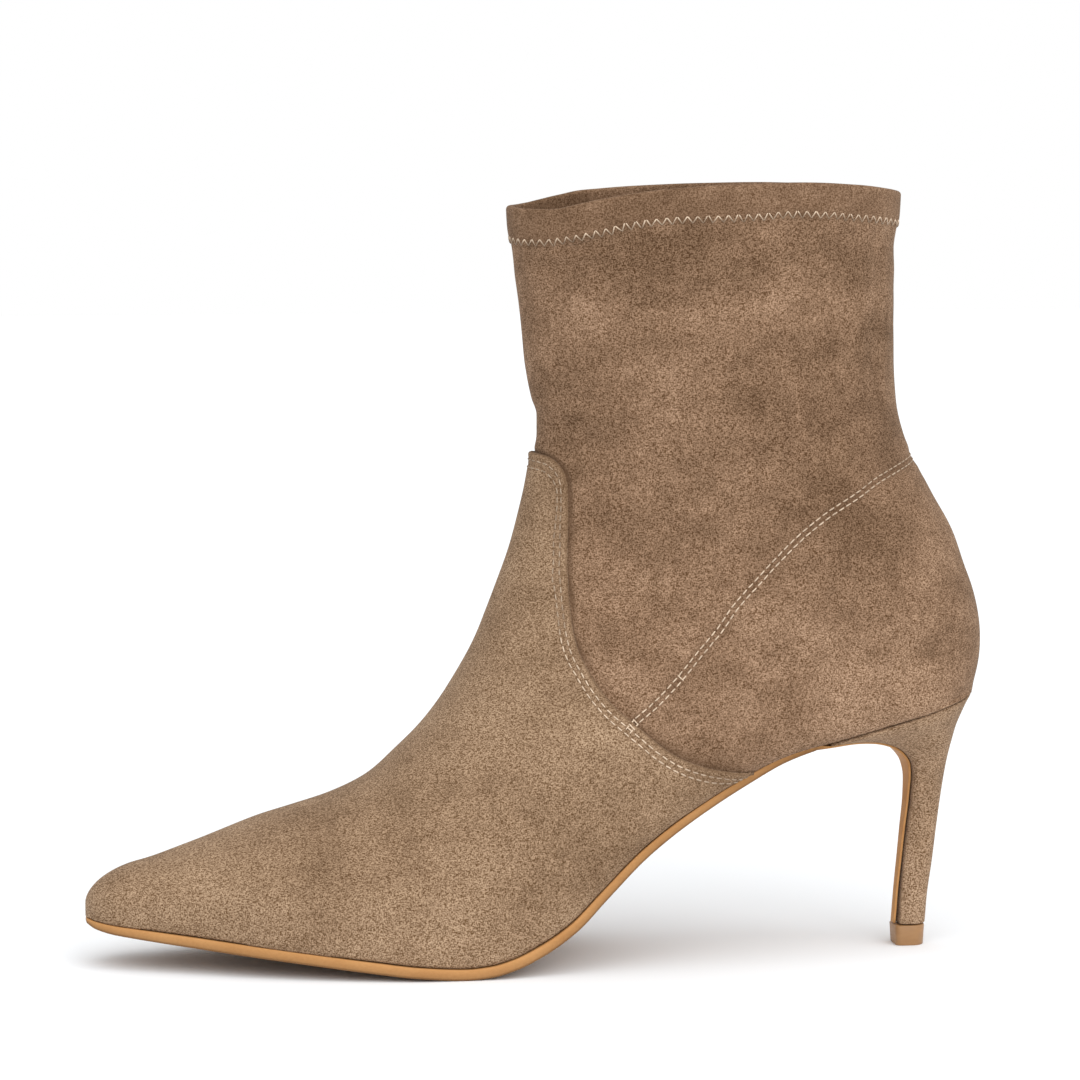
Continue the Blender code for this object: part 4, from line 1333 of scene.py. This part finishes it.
def nap_group():
    """Nap of faux suede raised by brushing: soft blotches, brush marks and a fine knit grain, with the
    given tone of painted light and shade and the painted seam shade laid over them.
    """
    tones, amounts = ("Dark", "Middle", "Light"), ("Contrast", "Pressed", "Brushed")
    group, given, result = new_group("suede nap", tones, amounts)
    where = group.nodes.new("ShaderNodeTexCoord").outputs["Object"]
    cloud = stretched_noise(group, where, 40 * MM, (1.2, 1, 0.8), 3.0, 0.55)
    blotch = stretched_noise(group, where, 10 * MM, (1.5, 1.5, 1), 3.0, 0.60)
    brush = stretched_noise(group, where, 2.6 * MM, (1, 1, 2.2), 3.0, 0.5)
    courses = stretched_noise(group, where, 0.27 * MM, (2.6, 2.6, 0.9), 1.0, 0.5)
    ribs = stretched_noise(group, where, 0.27 * MM, (0.9, 0.9, 2.2), 1.0, 0.5)
    pores = stretched_noise(group, where, 0.45 * MM, (1, 1, 1), 1.0, 0.5)
    lie = computed(group, "ADD", ranged(group, cloud, 0.30, 0.70, -0.45, 0.45),
                   ranged(group, blotch, 0.30, 0.70, -0.50, 0.50))
    lie = computed(group, "ADD", lie, ranged(group, brush, 0.25, 0.75, -0.26, 0.26))
    lie = computed(group, "MULTIPLY", lie, given.outputs["Contrast"])
    # Adds the stored tone: the nap's own patches with painted light and shade.
    lie = computed(group, "ADD", lie, given.outputs["Brushed"])
    down = ranged(group, lie, -0.80, 0.0, 1.0, 0.0)
    up = ranged(group, lie, 0.0, 0.80, 0.0, 1.0)
    color = blended(group, down, given.outputs["Middle"], given.outputs["Dark"])
    color = blended(group, up, color, given.outputs["Light"])
    knit = computed(group, "ADD", courses, ribs)
    speckle = ranged(group, knit, 0.80, 1.20)
    grain = blended(group, speckle, (0.40, 0.31, 0.20), (1.60, 1.69, 1.80))
    color = blended(group, 1.0, color, grain, "MULTIPLY")
    pitted = ranged(group, pores, 0.40, 0.30, 0.0, 0.6)
    color = blended(group, pitted, color, given.outputs["Dark"])
    flecks = ranged(group, pores, 0.62, 0.72, 0.0, 0.6)
    color = blended(group, flecks, color, given.outputs["Light"])
    # Painted shade at the seams: towards the dark tone, then dimmed by a grey tint.
    color = blended(group, given.outputs["Pressed"], color, given.outputs["Dark"])
    color = blended(group, given.outputs["Pressed"], color, (0.80, 0.77, 0.74), "MULTIPLY")
    group.links.new(color, result.inputs["Color"])
    height = computed(group, "ADD", computed(group, "MULTIPLY", knit, 0.45),
                      computed(group, "MULTIPLY", brush, 0.9))
    group.links.new(height, result.inputs["Height"])
    rough = ranged(group, lie, -1.0, 1.0, 0.98, 0.80)
    group.links.new(rough, result.inputs["Roughness"])
    return group


def leather_group():
    """Leather grain: fine pores over soft pulls, with a mottled dye."""
    group, given, result = new_group("leather grain", ("Light", "Dark"), ())
    where = group.nodes.new("ShaderNodeTexCoord").outputs["Object"]
    dye = stretched_noise(group, where, 9 * MM, (2.5, 1, 1), 5.0, 0.6)
    pores = stretched_noise(group, where, 0.6 * MM, (1.6, 1, 1), 3.0, 0.6)
    share = computed(group, "ADD", ranged(group, dye, 0.3, 0.7, 0.0, 0.75),
                     ranged(group, pores, 0.3, 0.7, -0.2, 0.25))
    color = blended(group, share, given.outputs["Light"], given.outputs["Dark"])
    group.links.new(color, result.inputs["Color"])
    group.links.new(pores, result.inputs["Height"])
    group.links.new(ranged(group, dye, 0.3, 0.7, 0.40, 0.58), result.inputs["Roughness"])
    return group


def placed_group(tree, group, **values):
    """The outputs of a group placed in a material with the given values."""
    given = {label: opaque(value) for label, value in values.items()}
    return new_node(tree, "ShaderNodeGroup", given, node_tree=group).outputs


def mark_of(tree, name):
    """The amount stored on the piece under the given name."""
    return new_node(tree, "ShaderNodeAttribute", attribute_name=name).outputs["Fac"]


def new_material(name):
    """A material and its shader."""
    material = bpy.data.materials.new(name)
    material.use_nodes = True
    return material, material.node_tree.nodes["Principled BSDF"]


def surfaced(tree, shader, color, roughness, height, distance, strength):
    """Links colour, roughness and a bump to the shader."""
    given = {"Height": height, "Distance": distance, "Strength": strength}
    normal = new_node(tree, "ShaderNodeBump", given).outputs["Normal"]
    for socket, value in (("Base Color", color), ("Roughness", roughness), ("Normal", normal)):
        tree.links.new(value, shader.inputs[socket])


def suede(row, group):
    """Faux suede in one row's tones."""
    material, shader = new_material(row.name)
    tree = material.node_tree
    # The nap gets the stored painted seam shade and the stored tone with painted light and shade.
    nap = placed_group(tree, group, Dark=row.dark, Middle=row.middle, Light=row.light,
                       Contrast=row.contrast, Pressed=mark_of(tree, "pressed"),
                       Brushed=mark_of(tree, "brushed"))
    surfaced(tree, shader, nap["Color"], nap["Roughness"], nap["Height"], 0.22 * MM, 0.9)
    sheen = {"Specular IOR Level": 0.12, "Sheen Weight": 0.10, "Sheen Roughness": 0.45,
             "Sheen Tint": (0.85, 0.72, 0.58, 1.0)}
    for socket, value in sheen.items():
        shader.inputs[socket].default_value = value
    return material


def sole_leather(group):
    """Tan outsole leather, warmer and paler on its trimmed edge."""
    material, shader = new_material("outsole_leather")
    tree = material.node_tree
    flesh = placed_group(tree, group, Light=(0.27, 0.145, 0.062), Dark=(0.20, 0.10, 0.043))
    edge = placed_group(tree, group, Light=(0.54, 0.283, 0.112), Dark=(0.44, 0.215, 0.078))
    color = blended(tree, mark_of(tree, "trimmed"), flesh["Color"], edge["Color"])
    surfaced(tree, shader, color, edge["Roughness"], edge["Height"], 0.08 * MM, 0.6)
    shader.inputs["Specular IOR Level"].default_value = 0.02
    return material


def sock_leather(group):
    """Pale leather of the sock."""
    material, shader = new_material("sock_leather")
    tree = material.node_tree
    grain = placed_group(tree, group, Light=(0.50, 0.38, 0.27), Dark=(0.42, 0.31, 0.21))
    surfaced(tree, shader, grain["Color"], grain["Roughness"], grain["Height"], 0.12 * MM, 0.8)
    return material


def tip_plastic():
    """Smooth camel plastic with faint moulding marks."""
    material, shader = new_material("tip_plastic")
    tree = material.node_tree
    where = tree.nodes.new("ShaderNodeTexCoord").outputs["Object"]
    flow = stretched_noise(tree, where, 4 * MM, (1, 1, 0.4), 3.0, 0.5)
    scuffs = stretched_noise(tree, where, 0.9 * MM, (2.5, 2.5, 0.5), 2.0, 0.5)
    color = blended(tree, ranged(tree, flow, 0.3, 0.7), (0.345, 0.184, 0.074), (0.300, 0.154, 0.061))
    rough = ranged(tree, scuffs, 0.3, 0.7, 0.38, 0.52)
    surfaced(tree, shader, color, rough, scuffs, 0.02 * MM, 0.5)
    return material


def lining_cloth():
    """Thin tricot lining raised by brushing, with its fine ribs up the leg."""
    material, shader = new_material("lining_cloth")
    tree = material.node_tree
    where = tree.nodes.new("ShaderNodeTexCoord").outputs["Object"]
    mottle = stretched_noise(tree, where, 9 * MM, (1, 1, 1), 4.0, 0.6)
    ribs = stretched_noise(tree, where, 0.5 * MM, (1, 1, 4), 2.0, 0.5)
    color = blended(tree, ranged(tree, mottle, 0.3, 0.7), (0.42, 0.30, 0.20), (0.34, 0.235, 0.155))
    shade = blended(tree, ranged(tree, ribs, 0.3, 0.7), (0.82, 0.82, 0.82), (1.12, 1.12, 1.12))
    color = blended(tree, 1.0, color, shade, "MULTIPLY")
    surfaced(tree, shader, color, ranged(tree, ribs, 0.3, 0.7, 0.95, 0.85), ribs, 0.12 * MM, 0.8)
    shader.inputs["Specular IOR Level"].default_value = 0.2
    return material


def thread_material():
    """Twisted sewing thread with painted light and shade: pale where the stored amount is high, dark
    where it is low.
    """
    material, shader = new_material("thread")
    tree = material.node_tree
    where = tree.nodes.new("ShaderNodeTexCoord").outputs["Object"]
    twist = stretched_noise(tree, where, 0.22 * MM, (1, 1, 1), 1.0, 0.5)
    patchy = stretched_noise(tree, where, 4 * MM, (1, 1, 1), 2.0, 0.5)
    patches = ranged(tree, patchy, 0.35, 0.65, -0.25, 0.15)
    # The stored amount is painted light and shade, with random patches of tone over it.
    share = computed(tree, "ADD", mark_of(tree, "clear"), patches)
    color = blended(tree, ranged(tree, share, 0.0, 1.0), (0.24, 0.16, 0.10), (0.74, 0.58, 0.43))
    strands = blended(tree, ranged(tree, twist, 0.35, 0.65), (0.75, 0.72, 0.68), (1.08, 1.08, 1.08))
    color = blended(tree, 1.0, color, strands, "MULTIPLY")
    surfaced(tree, shader, color, ranged(tree, twist, 0.3, 0.7, 0.5, 0.7), twist, 0.06 * MM, 0.6)
    return material


# Stage


def make_stage():
    """A pale floor, and a white room that the camera sees as a white sheet."""
    mesh = bmesh.new()
    bmesh.ops.create_grid(mesh, x_segments=1, y_segments=1, size=4.0)
    floor = mesh_object("floor", mesh)
    material, shader = new_material("floor_paint")
    shader.inputs["Base Color"].default_value = FLOOR_TONE
    shader.inputs["Roughness"].default_value = 0.9
    shader.inputs["Specular IOR Level"].default_value = 0.0
    floor.data.materials.append(material)
    world = bpy.data.worlds.new("room")
    bpy.context.scene.world = world
    world.use_nodes = True
    tree = world.node_tree
    room = tree.nodes["Background"]
    room.inputs["Color"].default_value = (1, 1, 1, 1)
    room.inputs["Strength"].default_value = ROOM_LIGHT
    sheet = new_node(tree, "ShaderNodeBackground", {"Color": (1, 1, 1, 1), "Strength": 1.0})
    path = new_node(tree, "ShaderNodeLightPath")
    seen = {0: path.outputs["Is Camera Ray"], 1: room.outputs[0], 2: sheet.outputs[0]}
    mix = new_node(tree, "ShaderNodeMixShader", seen)
    tree.links.new(mix.outputs[0], tree.nodes["World Output"].inputs["Surface"])


def add_light(name, kind, aim, **settings):
    """A light that shines along aim."""
    lamp = bpy.data.lights.new(name, kind)
    for label, value in settings.items():
        setattr(lamp, label, value)
    light = bpy.data.objects.new(name, lamp)
    bpy.context.scene.collection.objects.link(light)
    light.rotation_euler = aim.to_track_quat("-Z", "Y").to_euler()
    return light


def make_lights():
    """Soft light from above, and a wide lamp in front."""
    add_light("sky_light", "SUN", -Vector(SKY_FROM), energy=SKY_LIGHT, angle=SKY_SPREAD)
    aim = Vector(FRONT_LIGHT_AIM) - Vector(FRONT_LIGHT_PLACE)
    front = add_light("front_light", "AREA", aim, shape="DISK", size=FRONT_LIGHT_SIZE, energy=FRONT_LIGHT)
    front.location = FRONT_LIGHT_PLACE


def make_camera():
    """The photograph's view of the outer side."""
    lens = bpy.data.cameras.new("camera")
    lens.lens = CAMERA_LENS
    lens.sensor_width = SENSOR_WIDTH
    camera = bpy.data.objects.new("camera", lens)
    bpy.context.scene.collection.objects.link(camera)
    sideways, level = math.sin(CAMERA_TURN), math.cos(CAMERA_TURN)
    x = CAMERA_SHIFT + CAMERA_DISTANCE * sideways
    camera.location = (x, CAMERA_DISTANCE * level, CAMERA_HEIGHT)
    flat = math.cos(CAMERA_PITCH)
    aim = Vector((-sideways * flat, -level * flat, -math.sin(CAMERA_PITCH)))
    camera.rotation_euler = aim.to_track_quat("-Z", "Y").to_euler()
    bpy.context.scene.camera = camera


def dress(piece, material, slot, *nodes):
    """Gives a piece its finish and its body, and hides the solids it stands for. The slot is not used."""
    piece.data.materials.clear()
    piece.data.materials.append(material)
    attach(piece, "root")
    if nodes:
        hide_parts(*nodes)


def vamp_rows(surface, edge, rate, turns, distance):
    """A row of stitches inside the vamp's edge."""
    at = upper_points(edge - distance / rate, turns, VAMP_STEP)
    return settle(surface, fine_line(at, 0.5 * MM))


def counter_runs(surface):
    """The counter's two rows, round the back, with bars where they are locked."""
    rows = [side_offset(seam_curve(COUNTER_SEAM, COUNTER_STEPS), d) for d in (-COUNTER_ROW, COUNTER_ROW)]
    runs = [cast_round(surface, row) for row in rows]
    for side in (-1, 1):
        for bar in COUNTER_BARS:
            middle, reach = (rows[0][bar] + rows[1][bar]) / 2, (rows[1][bar] - rows[0][bar]) * 0.2
            runs.append(cast_side(surface, np.array((middle - reach, middle + reach)), side))
    return runs


def heights_over(row, at):
    """How far each point lies above the place of the row beside it."""
    line = np.array([tuple(place) for place, _ in row])
    plan = tree_of([(x, y, 0) for x, y, _ in line])
    beside = [plan.find((x, y, 0))[1] for x, y, _ in at]
    return at[:, 2] - line[beside, 2]


def mark_threads(hem, hem_row, front, counter):
    """Stores painted light and shade on each thread: lighter at the zigzag's upper tips, darker up the
    leg and towards the back.
    """

    def tips_painted_light(at):
        return 0.12 + 0.88 * eased(0.35 + heights_over(hem_row, at) / (1.9 * MM))

    def front_painted_light(at):
        upper = eased((at[:, 2] - 0.40 * BOOT_HEIGHT) / (12 * MM))
        lasted = eased((along_at(at[:, 0]) - 0.63) / 0.04)
        return 0.90 - 0.55 * np.maximum(upper, lasted)

    def counter_painted_light(at):
        return 0.88 - 0.52 * eased((at[:, 2] - 0.54 * BOOT_HEIGHT) / (25 * MM))

    # Painted light and shade on each row of thread.
    marked(hem, "clear", tips_painted_light)
    marked(front, "clear", front_painted_light)
    marked(counter, "clear", counter_painted_light)


def sewn_threads(shaft, vamp, stitch_ways, edge, rate, turns, thread):
    """The zigzag at the collar, and the double rows of the vamp and the counter."""
    on_shaft, on_both, on_vamp = surface_of(shaft), surface_of(shaft, vamp), surface_of(vamp)
    tree = stitch_tree()
    hem_row = settle(on_shaft, fine_line(upper_points(stitch_ways, turns, HEM_STEP), 0.5 * MM))
    vamp_runs = [vamp_rows(on_vamp, edge, rate, turns, distance) for distance in VAMP_STITCHES]
    runs = ([hem_row], vamp_runs, counter_runs(on_both))
    hem, front, counter = [sewn(seam, lines, tree, thread) for seam, lines in zip(SEAMS, runs)]
    mark_threads(hem, hem_row, front, counter)
    return hem, front, counter


def main():
    """Makes the pieces, their finishes and the stage."""
    turns = np.linspace(-1, 1, 2 * SIDE_STEPS + 1)
    shaft, stitch_ways = make_shaft(turns)
    vamp, edge, rate = make_vamp(turns)
    lining = make_lining(np.linspace(-1, 1, 2 * LINING_SIDE_STEPS + 1))
    heel, outsole, tip, sock = make_heel(), make_outsole(), make_top_lift(), make_sock()

    nap, leather = nap_group(), leather_group()
    shaft_suede, vamp_suede, heel_suede = [suede(row, nap) for row in SUEDES]
    thread = thread_material()
    threads = sewn_threads(shaft, vamp, stitch_ways, edge, rate, turns, thread)

    walled(shaft, CLOTH)
    walled(vamp, VAMP_CLOTH)
    walled(lining, INNER_CLOTH, inwards=False)
    dress(shaft, shaft_suede, "upper", "upper")
    dress(vamp, vamp_suede, "upper", "upper")
    dress(lining, lining_cloth(), "upper", "upper")
    for row in threads:
        dress(row, thread, "upper")
    dress(heel, heel_suede, "heel", "heel")
    dress(outsole, sole_leather(leather), "outsole", "outsole")
    dress(tip, tip_plastic(), "top_lift", "top_lift")
    dress(sock, sock_leather(leather), "insole", "insole")

    make_stage()
    make_lights()
    make_camera()
    bpy.context.scene.view_settings.view_transform = "Standard"


main()
